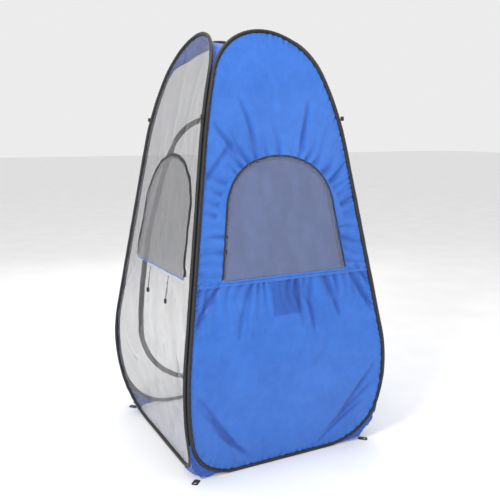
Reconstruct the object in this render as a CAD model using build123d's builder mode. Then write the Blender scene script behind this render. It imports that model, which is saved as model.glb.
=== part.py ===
from build123d import *
import math
import os

# Pop-up fishing shelter: four bowed fabric walls, each stretched in a spring-steel
# hoop.  Millimetres, +Z up, origin on the ground at the centre of the floor.
# The front wall faces -Y, the left wall -X, the back wall +Y and the right wall +X.

# ---- driving dimensions -------------------------------------------------------
HEIGHT = 1900.0
WALL_MAX = 500.0          # half-width at the widest level
WALL_MAX_Z = 400.0
LOWER_RADIUS = 1050.0     # bow of a wall below the straight part
UPPER_BEND_Z = 1390.0
UPPER_RADIUS = 1900.0     # bow of a wall above the straight part
LEAN = 9.0                # lean of the straight part, degrees

WIRE_R = 2.5
FERRULE_R = 4.1
FERRULE_L = 60.0
FERRULE_GAP = 0.1
SLEEVE_R = 8.0
SLEEVE_BORE_R = 4.5
SOLE_CUT = 0.5            # flat worn along the underside of each sleeve
CORNER_INSET = 12.0       # hoop centreline to the corner of the walls
HOOP_FOOT_RADIUS = 235.0
FABRIC = 3.0              # working thickness of every fabric solid
EDGE_GAP = 0.6            # between a panel's edge and its sleeve
LAYER_GAP = 0.25          # between fabric layers that lie on each other

SEAM_Z = 840.0
WINDOW_Z = 852.0
WINDOW_HALF = 303.0
WINDOW_TOP_Z = 1358.0
WINDOW_TOP_RADIUS = 330.0
WINDOW_SHOULDER_RADIUS = 215.0
WINDOW_SIDE_LEAN = 8.8    # degrees
MESH_T = 1.6
ZIP_OUT = 11.0            # zip tape, outwards and inwards of the opening's edge
ZIP_IN = 8.0
PIPING_W = 9.0
PIPING_T = 3.0
PIPING_RISE = 0.4

POCKET_W = 145.0
POCKET_X = -5.0
POCKET_LOW_Z = 682.0
POCKET_HIGH_Z = 836.0
POCKET_T = 2.0
POCKET_CORNER_R = 8.0

DOOR_TOP_Z = 1534.0
DOOR_LOW_Z = 112.0
DOOR_HALF = 367.0
DOOR_WIDE_Z = 430.0
DOOR_CROWN_RADIUS = 230.0
DOOR_FOOT_RADIUS = 300.0
DOOR_HINGE_X = -215.0       # as seen from outside the back wall
DOOR_GAP = 0.8             # round the door, so that it swings clear

SLIDER_W = 14.0
SLIDER_L = 18.0
SLIDER_T = 3.6
SLIDER_SIDE_ANGLE = 82
SLIDER_EDGE_R = 0.8
PULL_W = 6.0
PULL_L = 26.0
PULL_T = 1.8
PULL_SETBACK = 4.0        # pull's top below the slider's top
WINDOW_SLIDER_RISE = 48.0     # slider above the foot of the window at rest
DOOR_SLIDER_Z = {"upper": 1068.0, "lower": 1028.0}

TIE_HALF_SPACING = 122.0
TIE_DROP = 17.0
RIBBON_W = 9.0
RIBBON_L = 46.0
RIBBON_T = 1.2
LOOP_R = 1.3              # elastic
LOOP_W = 9.0
LOOP_L = 52.0
TOGGLE_R = 7.0
TOGGLE_L = 17.0

PEG_TAB_W = 28.0
PEG_TAB_L = 44.0
PEG_TAB_T = 3.0
PEG_TAB_CORNER_R = 7.0
PEG_HOLE_R = 6.0
GUY_TAB_Z = 1520.0
GUY_TAB_W = 20.0
GUY_TAB_L = 14.0
GUY_TAB_T = 3.0
GUY_TAB_EDGE_R = 1.2
GUY_TAB_STANDOFF = 6.5

ROOF_DIP_R = 300.0
ROOF_DIP_Z = 1815.0
ROOF_EAVE_Z = 1704.0
GUSSET_LOW_Z = 3.4
GUSSET_TOP_Z = 300.0

# each wall is the front wall turned about the middle of the shelter
THROUGH = 700.0            # past any wall, for cuts that go right through
WALL_TURNS = {"front": 0, "right": 90, "back": 180, "left": 270}
WINDOW_WALLS = ["front", "right", "left"]

os.makedirs("parts", exist_ok=True)


# ---- wall profile and hoop outline ----------------------------------------------
lean = math.radians(LEAN)
lower_cx = WALL_MAX - LOWER_RADIUS
lower_end_z = WALL_MAX_Z + LOWER_RADIUS * math.sin(lean)
lower_end_w = lower_cx + LOWER_RADIUS * math.cos(lean)
upper_start_w = lower_end_w - (UPPER_BEND_Z - lower_end_z) * math.tan(lean)
upper_cx = upper_start_w - UPPER_RADIUS * math.cos(lean)
upper_cz = UPPER_BEND_Z - UPPER_RADIUS * math.sin(lean)


def half_width(z):
    """Distance of a wall from the middle of the shelter at height z."""
    if z < lower_end_z:
        return lower_cx + math.sqrt(LOWER_RADIUS**2 - (z - WALL_MAX_Z) ** 2)
    if z < UPPER_BEND_Z:
        return lower_end_w - (z - lower_end_z) * math.tan(lean)
    return upper_cx + math.sqrt(UPPER_RADIUS**2 - (z - upper_cz) ** 2)


hoop_top = HEIGHT - SLEEVE_R
hoop_bottom = SLEEVE_R - SOLE_CUT
upper_r = UPPER_RADIUS - CORNER_INSET
lower_r = LOWER_RADIUS - CORNER_INSET
rise = hoop_top - upper_cz
top_r = (upper_r**2 - rise**2 - upper_cx**2) / (2 * (upper_r - rise))
top_cz = hoop_top - top_r
top_angle = math.degrees(math.atan2(top_cz - upper_cz, -upper_cx))
foot_r = HOOP_FOOT_RADIUS
foot_cz = hoop_bottom + foot_r
foot_cx = lower_cx + math.sqrt((lower_r - foot_r) ** 2 - (foot_cz - WALL_MAX_Z) ** 2)
foot_angle = math.degrees(math.atan2(foot_cz - WALL_MAX_Z, foot_cx - lower_cx))


def polar(cx, cz, r, angle):
    a = math.radians(angle)
    return (cx + r * math.cos(a), cz + r * math.sin(a))


def side_edges(side, inset):
    """The lines and arcs of a hoop on one side, from the top down, inset inwards."""
    arcs = [
        (0, top_cz, top_r - inset, 90, top_angle),
        (upper_cx, upper_cz, upper_r - inset, top_angle, LEAN),
        (lower_cx, WALL_MAX_Z, lower_r - inset, LEAN, foot_angle),
        (foot_cx, foot_cz, foot_r - inset, foot_angle, -90),
    ]
    ends = []
    for cx, cz, r, start, end in arcs:
        points = [polar(cx, cz, r, a) for a in (start, (start + end) / 2, end)]
        ThreePointArc(*[(side * x, z) for x, z in points])
        ends.append(points)
    Line((side * ends[1][2][0], ends[1][2][1]), (side * ends[2][0][0], ends[2][0][1]))
    return side * ends[3][2][0], ends[3][2][1]


def hoop_face(inset):
    """Sketch of the area inside a hoop, seen square on (plane XZ)."""
    with BuildSketch(Plane.XZ) as face:
        with BuildLine():
            right = side_edges(1, inset)
            left = side_edges(-1, inset)
            Line(right, left)
        make_face()
    return face.sketch


def wall_skin(offset, facing=-1):
    """One skin of the front (-1) or back (1) wall, drawn on plane YZ."""
    low_r, high_r = LOWER_RADIUS + offset, UPPER_RADIUS + offset
    low = math.degrees(math.asin(-WALL_MAX_Z / low_r))
    high = math.degrees(math.asin((HEIGHT - upper_cz) / high_r))
    bottom = [polar(lower_cx, WALL_MAX_Z, low_r, a) for a in (low, (low + LEAN) / 2, LEAN)]
    top = [polar(upper_cx, upper_cz, high_r, a) for a in (LEAN, (LEAN + high) / 2, high)]
    bottom = [(facing * w, z) for w, z in bottom]
    top = [(facing * w, z) for w, z in top]
    ThreePointArc(*bottom)
    Line(bottom[2], top[0])
    ThreePointArc(*top)
    return bottom[0], top[2]


def wall_band(outer, inner):
    """The front wall's cross-section extruded across the shelter: outer and inner
    are distances of the two skins from the middle surface, outwards positive."""
    with BuildPart() as band:
        with BuildSketch(Plane.YZ):
            with BuildLine():
                out_low, out_high = wall_skin(outer)
                in_low, in_high = wall_skin(inner)
                Line(out_low, in_low)
                Line(out_high, in_high)
            make_face()
        extrude(amount=THROUGH, both=True)
    return band.part


def on_wall(outline, outer, inner, z_low=None):
    """A curved plate: the part of the front wall between two skins inside outline."""
    with BuildPart() as plate:
        add(wall_band(outer, inner))
        extrude(outline, amount=THROUGH, mode=Mode.INTERSECT)
        if z_low is not None:
            split(bisect_by=Plane.XY.offset(z_low), keep=Keep.TOP)
    return plate.part


def hoop_points():
    """Corners of the tangent polygon round half a hoop, from the top to the foot."""
    arcs = [
        (0, top_cz, top_r, 90, top_angle, 4),
        (upper_cx, upper_cz, upper_r, top_angle, LEAN, 1),
        (lower_cx, WALL_MAX_Z, lower_r, LEAN, foot_angle, 2),
        (foot_cx, foot_cz, foot_r, foot_angle, -90, 4),
    ]
    points = [Vector(0, -half_width(hoop_top), hoop_top)]
    for cx, cz, r, start, end, count in arcs:
        step = (end - start) / count
        for i in range(count):
            x, z = polar(cx, cz, r / math.cos(math.radians(step / 2)), start + (i + 0.5) * step)
            on_corner = r in (upper_r, lower_r)
            depth = x + CORNER_INSET if on_corner else half_width(min(z, hoop_top))
            points.append(Vector(x, -depth, max(z, hoop_bottom)))
    points.append(Vector(0, -half_width(hoop_bottom), hoop_bottom))
    return points


def fillet_radii(points, share=0.49):
    """The largest fillet that each corner of a polyline can carry."""
    radii = []
    for i in range(1, len(points) - 1):
        before, after = points[i] - points[i - 1], points[i + 1] - points[i]
        reach = [
            before.length * (2 * share if i == 1 else share),
            after.length * (2 * share if i == len(points) - 2 else share),
        ]
        turn = math.radians(before.get_angle(after))
        radii.append(min(reach) / math.tan(turn / 2))
    return radii


def hoop_tube(outer_r, bore_r):
    """A round tube, or a rod when bore_r is 0, all the way round a hoop."""
    points = hoop_points()
    with BuildPart() as tube:
        with BuildLine():
            path = FilletPolyline(*points, radius=fillet_radii(points))
        with BuildSketch(Plane(origin=path @ 0, z_dir=path % 0)):
            Circle(outer_r)
            if bore_r:
                Circle(bore_r, mode=Mode.SUBTRACT)
        sweep()
        mirror(about=Plane.YZ)
        split(bisect_by=Plane.XY, keep=Keep.TOP)
    return tube.part



# ---- windows and door -------------------------------------------------------------
def window_outline(grow):
    """Arched window on plane XZ, grown outwards by grow (negative shrinks it)."""
    lean_in = math.radians(WINDOW_SIDE_LEAN)
    along = Vector(-math.sin(lean_in), math.cos(lean_in))
    inwards = Vector(-math.cos(lean_in), -math.sin(lean_in))
    crown = Vector(0, WINDOW_TOP_Z - WINDOW_TOP_RADIUS)
    start = Vector(WINDOW_HALF, WINDOW_Z) + inwards * WINDOW_SHOULDER_RADIUS - crown
    reach = WINDOW_TOP_RADIUS - WINDOW_SHOULDER_RADIUS
    half_b = start.dot(along)
    travel = -half_b + math.sqrt(half_b**2 - start.dot(start) + reach**2)
    shoulder = crown + start + along * travel
    crown_angle = math.degrees(math.atan2(shoulder.Y - crown.Y, shoulder.X - crown.X))
    crown_r = WINDOW_TOP_RADIUS + grow
    shoulder_r = WINDOW_SHOULDER_RADIUS + grow
    side_angle = WINDOW_SIDE_LEAN
    foot = Vector(WINDOW_HALF, WINDOW_Z) - inwards * grow
    foot += along * ((-grow if grow < 0 else 0) - (foot.Y - WINDOW_Z)) / along.Y

    def half(side):
        def arc(centre, r, start, end):
            points = [polar(centre.X, centre.Y, r, a) for a in (start, (start + end) / 2, end)]
            ThreePointArc(*[(side * x, z) for x, z in points])
            return points

        arc(crown, crown_r, 90, crown_angle)
        shoulder_points = arc(shoulder, shoulder_r, crown_angle, side_angle)
        end_x, end_z = shoulder_points[2]
        Line((side * end_x, end_z), (side * foot.X, foot.Y))
        return side * foot.X, foot.Y

    with BuildSketch(Plane.XZ) as outline:
        with BuildLine():
            right = half(1)
            left = half(-1)
            Line(right, left)
        make_face()
    return outline.sketch


def ring_sketch(outer, inner):
    with BuildSketch(Plane.XZ) as ring:
        add(outer)
        add(inner, mode=Mode.SUBTRACT)
    return ring.sketch


door_crown_cz = DOOR_TOP_Z - DOOR_CROWN_RADIUS
door_fall = door_crown_cz - DOOR_WIDE_Z
door_side_r = (door_fall**2 + DOOR_HALF**2 - DOOR_CROWN_RADIUS**2) / (
    2 * (DOOR_HALF - DOOR_CROWN_RADIUS)
)


def door_outline(grow):
    """Egg-shaped door with one straight side, the hinge, on plane XZ."""
    side_cx = door_side_r - DOOR_HALF
    foot_cz = DOOR_LOW_Z + DOOR_FOOT_RADIUS
    foot_drop = foot_cz - DOOR_WIDE_Z
    foot_cx = math.sqrt((door_side_r - DOOR_FOOT_RADIUS) ** 2 - foot_drop**2) - side_cx
    crown_angle = math.degrees(math.atan2(door_fall, side_cx))
    foot_angle = math.degrees(math.atan2(foot_drop, foot_cx + side_cx))
    arcs = [
        (0, door_crown_cz, DOOR_CROWN_RADIUS, 90, crown_angle),
        (-side_cx, DOOR_WIDE_Z, door_side_r, crown_angle, foot_angle),
        (foot_cx, foot_cz, DOOR_FOOT_RADIUS, foot_angle, -90),
    ]
    with BuildSketch(Plane.XZ) as outline:
        with BuildLine():
            for side in (-1, 1):
                for cx, cz, r, start, end in arcs:
                    angles = (start, (start + end) / 2, end)
                    points = [polar(cx, cz, r + grow, a) for a in angles]
                    ThreePointArc(*[(side * x, z) for x, z in points])
            Line((-foot_cx, DOOR_LOW_Z - grow), (foot_cx, DOOR_LOW_Z - grow))
        make_face()
        with Locations((DOOR_HINGE_X - grow, 0)):
            Rectangle(THROUGH, 2 * HEIGHT, align=(Align.MAX, Align.CENTER), mode=Mode.SUBTRACT)
    return outline.sketch


# ---- placing and saving -------------------------------------------------------------
def save(piece, name, turn=0):
    """Write one piece, turned about the middle of the shelter on to its wall."""
    with BuildPart() as placed:
        add(piece, rotation=(0, 0, turn))
    placed.part.label = name
    export_step(placed.part, f"parts/{name}.step")
    return placed.part


def wall_plane(x, z, offset, slope=0.0):
    """A plane on the straight part of the front wall: its X lies along the wall, its
    Y climbs the wall, leaning inwards by slope degrees, and its Z points outwards."""
    normal = Vector(0, -math.cos(lean), math.sin(lean))
    up = Vector(0, math.sin(lean), math.cos(lean))
    tilt = math.radians(slope)
    across = Vector(1, 0, 0) * math.cos(tilt) + up * math.sin(tilt)
    origin = Vector(x, -half_width(z), z) + normal * offset
    return Plane(origin=origin, x_dir=across, z_dir=normal)


# ---- hoops: wire, ferrule and sleeve on each wall --------------------------------------
wire = hoop_tube(WIRE_R, 0)
sleeve = hoop_tube(SLEEVE_R, SLEEVE_BORE_R)
with BuildPart() as ferrule:
    with BuildSketch(Plane.YZ.offset(-FERRULE_L / 2)):
        with Locations((-half_width(hoop_bottom), hoop_bottom)):
            Circle(FERRULE_R)
            Circle(WIRE_R + FERRULE_GAP, mode=Mode.SUBTRACT)
    extrude(amount=FERRULE_L)

for wall, turn in WALL_TURNS.items():
    save(wire, f"hoop_wire_{wall}", turn)
    save(ferrule.part, f"wire_ferrule_{wall}", turn)
    save(sleeve, f"hoop_sleeve_{wall}", turn)

# ---- wall fabric --------------------------------------------------------------------------
skin = FABRIC / 2
wall_outline = hoop_face(SLEEVE_R + EDGE_GAP)
with BuildPart() as windowed_wall:
    add(on_wall(wall_outline, skin, -skin))
    extrude(window_outline(0), amount=THROUGH, mode=Mode.SUBTRACT)
with BuildPart() as upper_wall:
    add(windowed_wall.part)
    split(bisect_by=Plane.XY.offset(SEAM_Z + EDGE_GAP / 2), keep=Keep.TOP)
with BuildPart() as lower_wall:
    add(windowed_wall.part)
    split(bisect_by=Plane.XY.offset(SEAM_Z - EDGE_GAP / 2), keep=Keep.BOTTOM)
with BuildPart() as door_wall:
    add(on_wall(wall_outline, skin, -skin))
    extrude(door_outline(0), amount=THROUGH, mode=Mode.SUBTRACT)

for wall in ("front", "right"):
    save(upper_wall.part, f"upper_fabric_{wall}", WALL_TURNS[wall])
    save(lower_wall.part, f"lower_fabric_{wall}", WALL_TURNS[wall])
save(windowed_wall.part, "film_wall_left", WALL_TURNS["left"])
save(door_wall.part, "film_wall_back", WALL_TURNS["back"])

# ---- window: mesh, piping, zip tape, flap, slider and pull ---------------------------------
tape_out = -skin - LAYER_GAP
tape_in = tape_out - FABRIC
slider_face = tape_in - LAYER_GAP
pull_face = slider_face - SLIDER_T - LAYER_GAP

mesh = on_wall(window_outline(-EDGE_GAP), MESH_T / 2, -MESH_T / 2)
piping = on_wall(
    ring_sketch(window_outline(PIPING_W), window_outline(0)),
    skin + PIPING_RISE + PIPING_T,
    skin + PIPING_RISE,
    z_low=WINDOW_Z + EDGE_GAP,
)
tape = on_wall(
    ring_sketch(window_outline(ZIP_OUT), window_outline(-ZIP_IN)),
    tape_out,
    tape_in,
    z_low=WINDOW_Z + 2 * EDGE_GAP,
)
flap = on_wall(window_outline(-ZIP_IN - EDGE_GAP), tape_out, tape_in, z_low=WINDOW_Z + 2 * EDGE_GAP)

slider_x = -WINDOW_HALF + WINDOW_SLIDER_RISE * math.tan(math.radians(WINDOW_SIDE_LEAN))
slider_z = WINDOW_Z + WINDOW_SLIDER_RISE


def zip_slider(x, z, slope):
    """A tapered zip slider on the inner face of a tape, with a bridge for its pull."""
    with BuildPart() as slider:
        with BuildSketch(wall_plane(x, z, slider_face, slope)):
            Trapezoid(SLIDER_W, SLIDER_L, SLIDER_SIDE_ANGLE)
        extrude(amount=-SLIDER_T)
        fillet(slider.edges().filter_by(GeomType.LINE).group_by(Axis.Y)[-1], SLIDER_EDGE_R)
    return slider.part


def zip_pull(x, z, slope):
    """A flat pull hanging from the upper end of its slider."""
    pull_top = SLIDER_L / 2 - PULL_SETBACK
    with BuildPart() as pull:
        with BuildSketch(wall_plane(x, z, pull_face, slope)):
            with Locations((0, pull_top - PULL_L / 2)):
                SlotOverall(PULL_L, PULL_W, rotation=90)
            with Locations((0, pull_top - PULL_L + PULL_W)):
                Circle(PULL_W / 5, mode=Mode.SUBTRACT)
        extrude(amount=-PULL_T)
    return pull.part


slider = zip_slider(slider_x, slider_z, -WINDOW_SIDE_LEAN)
pull = zip_pull(slider_x, slider_z, -WINDOW_SIDE_LEAN)

for wall in WINDOW_WALLS:
    turn = WALL_TURNS[wall]
    save(mesh, f"window_mesh_{wall}", turn)
    save(piping, f"window_piping_{wall}", turn)
    save(tape, f"window_zip_{wall}", turn)
    save(flap, f"window_flap_{wall}", turn)
    save(slider, f"zip_slider_{wall}", turn)
    save(pull, f"zip_pull_{wall}", turn)

# ---- door: film panel, zip tape, two sliders and pulls ----------------------------------------
door = on_wall(door_outline(-DOOR_GAP), skin, -skin)
door_tape = on_wall(
    ring_sketch(door_outline(ZIP_OUT), door_outline(-ZIP_IN)),
    tape_out,
    tape_in,
)
with BuildPart() as door_zip:
    add(door_tape)
    with Locations((DOOR_HINGE_X + ZIP_IN + 2, 0, 0)):
        to_left = (Align.MAX, Align.CENTER, Align.CENTER)
        Box(THROUGH, 2 * THROUGH, 2 * HEIGHT, align=to_left, mode=Mode.SUBTRACT)
save(door, "door_panel", WALL_TURNS["back"])
save(door_zip.part, "door_zip", WALL_TURNS["back"])

for end, z in DOOR_SLIDER_Z.items():
    climb = math.asin((z - DOOR_WIDE_Z) / door_side_r)
    x = DOOR_HALF - door_side_r * (1 - math.cos(climb))
    save(zip_slider(x, z, math.degrees(climb)), f"door_slider_{end}", WALL_TURNS["back"])
    save(zip_pull(x, z, math.degrees(climb)), f"door_pull_{end}", WALL_TURNS["back"])

# ---- pocket inside the front wall, below the window --------------------------------------------
with BuildSketch(Plane.XZ) as pocket_outline:
    with Locations((POCKET_X, (POCKET_LOW_Z + POCKET_HIGH_Z) / 2)):
        RectangleRounded(POCKET_W, POCKET_HIGH_Z - POCKET_LOW_Z, POCKET_CORNER_R)
save(on_wall(pocket_outline.sketch, tape_out, tape_out - POCKET_T), "inner_pocket")

# ---- window ties hanging inside the left wall: ribbon, elastic loop and toggle -----------------
tie_top_z = WINDOW_Z - TIE_DROP
ribbon_face = tape_out
loop_depth = ribbon_face - LOOP_R - LAYER_GAP
with BuildPart() as ribbons:
    with BuildSketch(wall_plane(0, tie_top_z - RIBBON_L / 2, ribbon_face)):
        with Locations((-TIE_HALF_SPACING, 0), (TIE_HALF_SPACING, 0)):
            Rectangle(RIBBON_W, RIBBON_L)
    extrude(amount=-RIBBON_T)
save(ribbons.part, "tie_ribbons", WALL_TURNS["left"])

toggle_z = tie_top_z - RIBBON_L - LOOP_L - LOOP_R - EDGE_GAP - (TOGGLE_L + TOGGLE_R) / 2
with BuildPart() as toggles:
    for side in (-1, 1):
        with BuildSketch(wall_plane(side * TIE_HALF_SPACING, toggle_z, loop_depth - TOGGLE_R)) as barrel:
            SlotOverall(TOGGLE_L + TOGGLE_R, 2 * TOGGLE_R, rotation=90)
        extrude(amount=TOGGLE_R)
        extrude(barrel.sketch, amount=-TOGGLE_R / 2)
save(toggles.part, "tie_toggles", WALL_TURNS["left"])

# the elastic runs down from its ribbon, round inside the toggle's foot and back up
for label, side in (("a", -1), ("b", 1)):
    loop_plane = wall_plane(side * TIE_HALF_SPACING, tie_top_z - RIBBON_L, loop_depth)
    half = LOOP_W / 2
    top, low = -LOOP_R - EDGE_GAP, -LOOP_L
    route = [
        loop_plane.from_local_coords(Vector(x, y, 0))
        for x, y in (
            (-0.4 * half, top),
            (-half, 0.25 * low),
            (-half, 0.75 * low),
            (-0.45 * half, low),
            (0.45 * half, low),
            (half, 0.75 * low),
            (half, 0.25 * low),
            (0.4 * half, top),
        )
    ]
    with BuildPart() as loop:
        with BuildLine():
            loop_path = FilletPolyline(*route, radius=fillet_radii(route, 0.45))
        with BuildSketch(Plane(origin=loop_path @ 0, z_dir=loop_path % 0)):
            Circle(LOOP_R)
        sweep()
    print(f"tie loop {label}: length {loop_path.length:.1f} mm")
    save(loop.part, f"tie_loop_{label}", WALL_TURNS["left"])

# ---- corner tabs: webbing loops for pegs at the ground and for guy lines near the top -----------
corner_foot = half_width(0)
with BuildPart() as peg_tab:
    with BuildSketch():
        with Locations((math.sqrt(2) * corner_foot + PEG_TAB_L / 2, 0)):
            RectangleRounded(PEG_TAB_L, PEG_TAB_W, PEG_TAB_CORNER_R)
        with Locations((math.sqrt(2) * corner_foot + PEG_TAB_L - PEG_TAB_W / 2, 0)):
            Circle(PEG_HOLE_R, mode=Mode.SUBTRACT)
    extrude(amount=PEG_TAB_T)

guy_w = half_width(GUY_TAB_Z)
sleeve_centre = Vector(guy_w - CORNER_INSET, -guy_w)
tab_start = sleeve_centre.length + SLEEVE_R + GUY_TAB_STANDOFF
with BuildPart() as guy_tab:
    outwards = (sleeve_centre.X, sleeve_centre.Y, 0)
    corner_plane = Plane(origin=(0, 0, GUY_TAB_Z), x_dir=(0, 0, 1), z_dir=outwards)
    with BuildSketch(corner_plane.offset(tab_start)):
        RectangleRounded(GUY_TAB_W, GUY_TAB_T, GUY_TAB_EDGE_R)
    extrude(amount=GUY_TAB_L)

corners = {"front": "front_right", "right": "back_right", "back": "back_left", "left": "front_left"}
for wall, corner in corners.items():
    save(peg_tab.part, f"peg_tab_{corner}", WALL_TURNS[wall] - 45)
    save(guy_tab.part, f"guy_tab_{corner}", WALL_TURNS[wall])


# ---- roof: a membrane over the four hoop crowns, dished in the middle ------------------------------
def inside_walls(offset):
    """The space inside all four walls, grown outwards by offset."""
    with BuildPart() as space:
        with BuildSketch(Plane.YZ):
            with BuildLine():
                front_low, front_high = wall_skin(offset)
                back_low, back_high = wall_skin(offset, facing=1)
                Line(front_low, back_low)
                Line(front_high, back_high)
            make_face()
        across = extrude(amount=THROUGH, both=True)
        add(across, rotation=(0, 0, 90), mode=Mode.INTERSECT)
    return space.part


def dished_crown(inset):
    """The solid under the roof membrane, inset below the hoops' centrelines."""
    with BuildPart() as crown:
        barrel = extrude(hoop_face(inset), amount=WALL_MAX, both=True)
        add(barrel, rotation=(0, 0, 90))
        with Locations((0, 0, ROOF_DIP_Z + ROOF_DIP_R)):
            Sphere(ROOF_DIP_R + inset - SLEEVE_R, mode=Mode.SUBTRACT)
    return crown.part


with BuildPart() as roof:
    add(dished_crown(SLEEVE_R + EDGE_GAP))
    add(dished_crown(SLEEVE_R + EDGE_GAP + FABRIC), mode=Mode.SUBTRACT)
    add(inside_walls(-SLEEVE_R - EDGE_GAP), mode=Mode.INTERSECT)
    split(bisect_by=Plane.XY.offset(ROOF_EAVE_Z), keep=Keep.TOP)
save(roof.part, "roof")

# ---- bottom gussets: fabric between the feet of two hoops and the ground -----------------------------
with BuildSketch(Plane.XZ) as gusset_outline:
    with Locations((foot_cx / 2, GUSSET_LOW_Z)):
        Rectangle(WALL_MAX, GUSSET_TOP_Z - GUSSET_LOW_Z, align=(Align.MIN, Align.MIN))
    add(hoop_face(-SLEEVE_R - 3 * EDGE_GAP), mode=Mode.SUBTRACT)
with BuildPart() as gusset_half:
    add(on_wall(gusset_outline.sketch, skin, -skin))
    add(inside_walls(skin), mode=Mode.INTERSECT)
with BuildPart() as other_half:
    mirror(gusset_half.part, about=Plane.YZ)
with BuildPart() as gusset:
    add(gusset_half.part)
    add(other_half.part, rotation=(0, 0, 90))
save(gusset.part, "gusset_front_right")
save(gusset.part, "gusset_back_left", 180)
save(gusset.part, "gusset_front_left", 270)
save(gusset_half.part, "gusset_back_right", WALL_TURNS["right"])
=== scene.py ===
"""A pop-up ice fishing shelter: four hooped walls of blue cloth and clear film."""
import math

import bmesh
import bpy
import numpy as np
from mathutils import Matrix, Vector, geometry


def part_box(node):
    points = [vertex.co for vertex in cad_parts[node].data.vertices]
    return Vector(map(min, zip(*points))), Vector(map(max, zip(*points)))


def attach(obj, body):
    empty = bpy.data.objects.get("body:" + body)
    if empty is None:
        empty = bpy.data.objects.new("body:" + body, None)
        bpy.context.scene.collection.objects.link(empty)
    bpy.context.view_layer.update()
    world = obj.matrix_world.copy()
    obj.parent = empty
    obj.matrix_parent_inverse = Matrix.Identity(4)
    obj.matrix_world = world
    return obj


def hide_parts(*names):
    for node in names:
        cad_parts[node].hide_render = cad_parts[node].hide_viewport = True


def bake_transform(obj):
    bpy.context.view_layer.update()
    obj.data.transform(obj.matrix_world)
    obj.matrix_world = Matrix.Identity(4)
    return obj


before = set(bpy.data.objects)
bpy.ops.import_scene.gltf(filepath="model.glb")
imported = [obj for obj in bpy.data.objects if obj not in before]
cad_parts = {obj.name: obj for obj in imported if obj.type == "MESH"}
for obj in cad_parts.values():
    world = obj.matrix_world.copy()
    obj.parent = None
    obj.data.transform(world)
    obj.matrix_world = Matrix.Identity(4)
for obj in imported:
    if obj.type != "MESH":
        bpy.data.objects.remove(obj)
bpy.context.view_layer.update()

# ---- driving dimensions, in metres: the same wall profile and hoop as the frame ----
HEIGHT = 1.9
WALL_MAX, WALL_MAX_Z = 0.5, 0.4
LOWER_R, UPPER_R = 1.05, 1.9
UPPER_BEND_Z = 1.39
LEAN = math.radians(9)
SLEEVE_R = 0.008
CORNER_INSET = 0.012
FOOT_R = 0.235
SEAM_Z = 0.84
WINDOW_Z, WINDOW_HALF, WINDOW_TOP_Z = 0.852, 0.303, 1.358
WINDOW_TOP_R, WINDOW_SHOULDER_R = 0.33, 0.215
WINDOW_LEAN = math.radians(8.8)
DOOR_TOP_Z, DOOR_LOW_Z, DOOR_HALF, DOOR_WIDE_Z = 1.534, 0.112, 0.367, 0.43
DOOR_CROWN_R, DOOR_FOOT_R, DOOR_HINGE_X = 0.23, 0.3, -0.215
POCKET_X, POCKET_HALF, POCKET_LOW_Z, POCKET_HIGH_Z = -0.005, 0.0725, 0.682, 0.836
TURNS = {"front": 0, "right": 90, "back": 180, "left": 270}
CORNERS = {"front": "front_right", "right": "back_right", "back": "back_left", "left": "front_left"}

lower_cx = WALL_MAX - LOWER_R
lower_end_z = WALL_MAX_Z + LOWER_R * math.sin(LEAN)
lower_end_w = lower_cx + LOWER_R * math.cos(LEAN)
upper_start_w = lower_end_w - (UPPER_BEND_Z - lower_end_z) * math.tan(LEAN)
upper_cx = upper_start_w - UPPER_R * math.cos(LEAN)
upper_cz = UPPER_BEND_Z - UPPER_R * math.sin(LEAN)


def half_width(z):
    """Distance of a wall from the middle of the shelter at height z."""
    z = np.asarray(z, float)
    low = lower_cx + np.sqrt(np.maximum(LOWER_R**2 - (z - WALL_MAX_Z) ** 2, 0))
    straight = lower_end_w - (z - lower_end_z) * math.tan(LEAN)
    high = upper_cx + np.sqrt(np.maximum(UPPER_R**2 - (z - upper_cz) ** 2, 0))
    return np.where(z < lower_end_z, low, np.where(z < UPPER_BEND_Z, straight, high))


hoop_top, hoop_low = HEIGHT - SLEEVE_R, SLEEVE_R - 0.0005
upper_r, lower_r = UPPER_R - CORNER_INSET, LOWER_R - CORNER_INSET
rise = hoop_top - upper_cz
top_r = (upper_r**2 - rise**2 - upper_cx**2) / (2 * (upper_r - rise))
top_cz = hoop_top - top_r
top_angle = math.atan2(top_cz - upper_cz, -upper_cx)
foot_cz = hoop_low + FOOT_R
foot_cx = lower_cx + math.sqrt((lower_r - FOOT_R) ** 2 - (foot_cz - WALL_MAX_Z) ** 2)
foot_angle = math.atan2(foot_cz - WALL_MAX_Z, foot_cx - lower_cx)


def unit(vectors):
    """Vectors, one or a row of them, brought to length 1."""
    return vectors / np.linalg.norm(vectors, axis=-1, keepdims=True)


def run_length(path):
    """Length along a path, at each of its points."""
    return np.r_[0, np.cumsum(np.linalg.norm(np.diff(path, axis=0), axis=1))]


def circle(count):
    """Evenly spaced angles of one full turn."""
    return np.linspace(0, 2 * math.pi, count, endpoint=False)


def arc_points(cx, cz, r, start, end, step):
    """Points of an arc in the wall's x and z, without its last one."""
    count = max(2, round(abs(end - start) * r / step))
    return [
        (cx + r * math.cos(a), cz + r * math.sin(a))
        for a in np.linspace(start, end, count + 1)[:-1]
    ]


def within(loop, x, z):
    """Which of the points x, z lie inside a closed outline."""
    inside = np.zeros(np.shape(x), bool)
    j = len(loop) - 1
    for i in range(len(loop)):
        (xi, zi), (xj, zj) = loop[i], loop[j]
        crosses = (zi > z) != (zj > z)
        inside ^= crosses & (x < (xj - xi) * (z - zi) / (zj - zi + 1e-15) + xi)
        j = i
    return inside


def line_points(a, b, step):
    """Points of a straight line, without its last one."""
    count = max(1, round(math.dist(a, b) / step))
    dx, dz = b[0] - a[0], b[1] - a[1]
    return [(a[0] + dx * i / count, a[1] + dz * i / count) for i in range(count)]


def closed_outline(half):
    """A closed outline from its right half, which runs from the top middle down."""
    return half + [(-x, z) for x, z in reversed(half[1:])]


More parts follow.
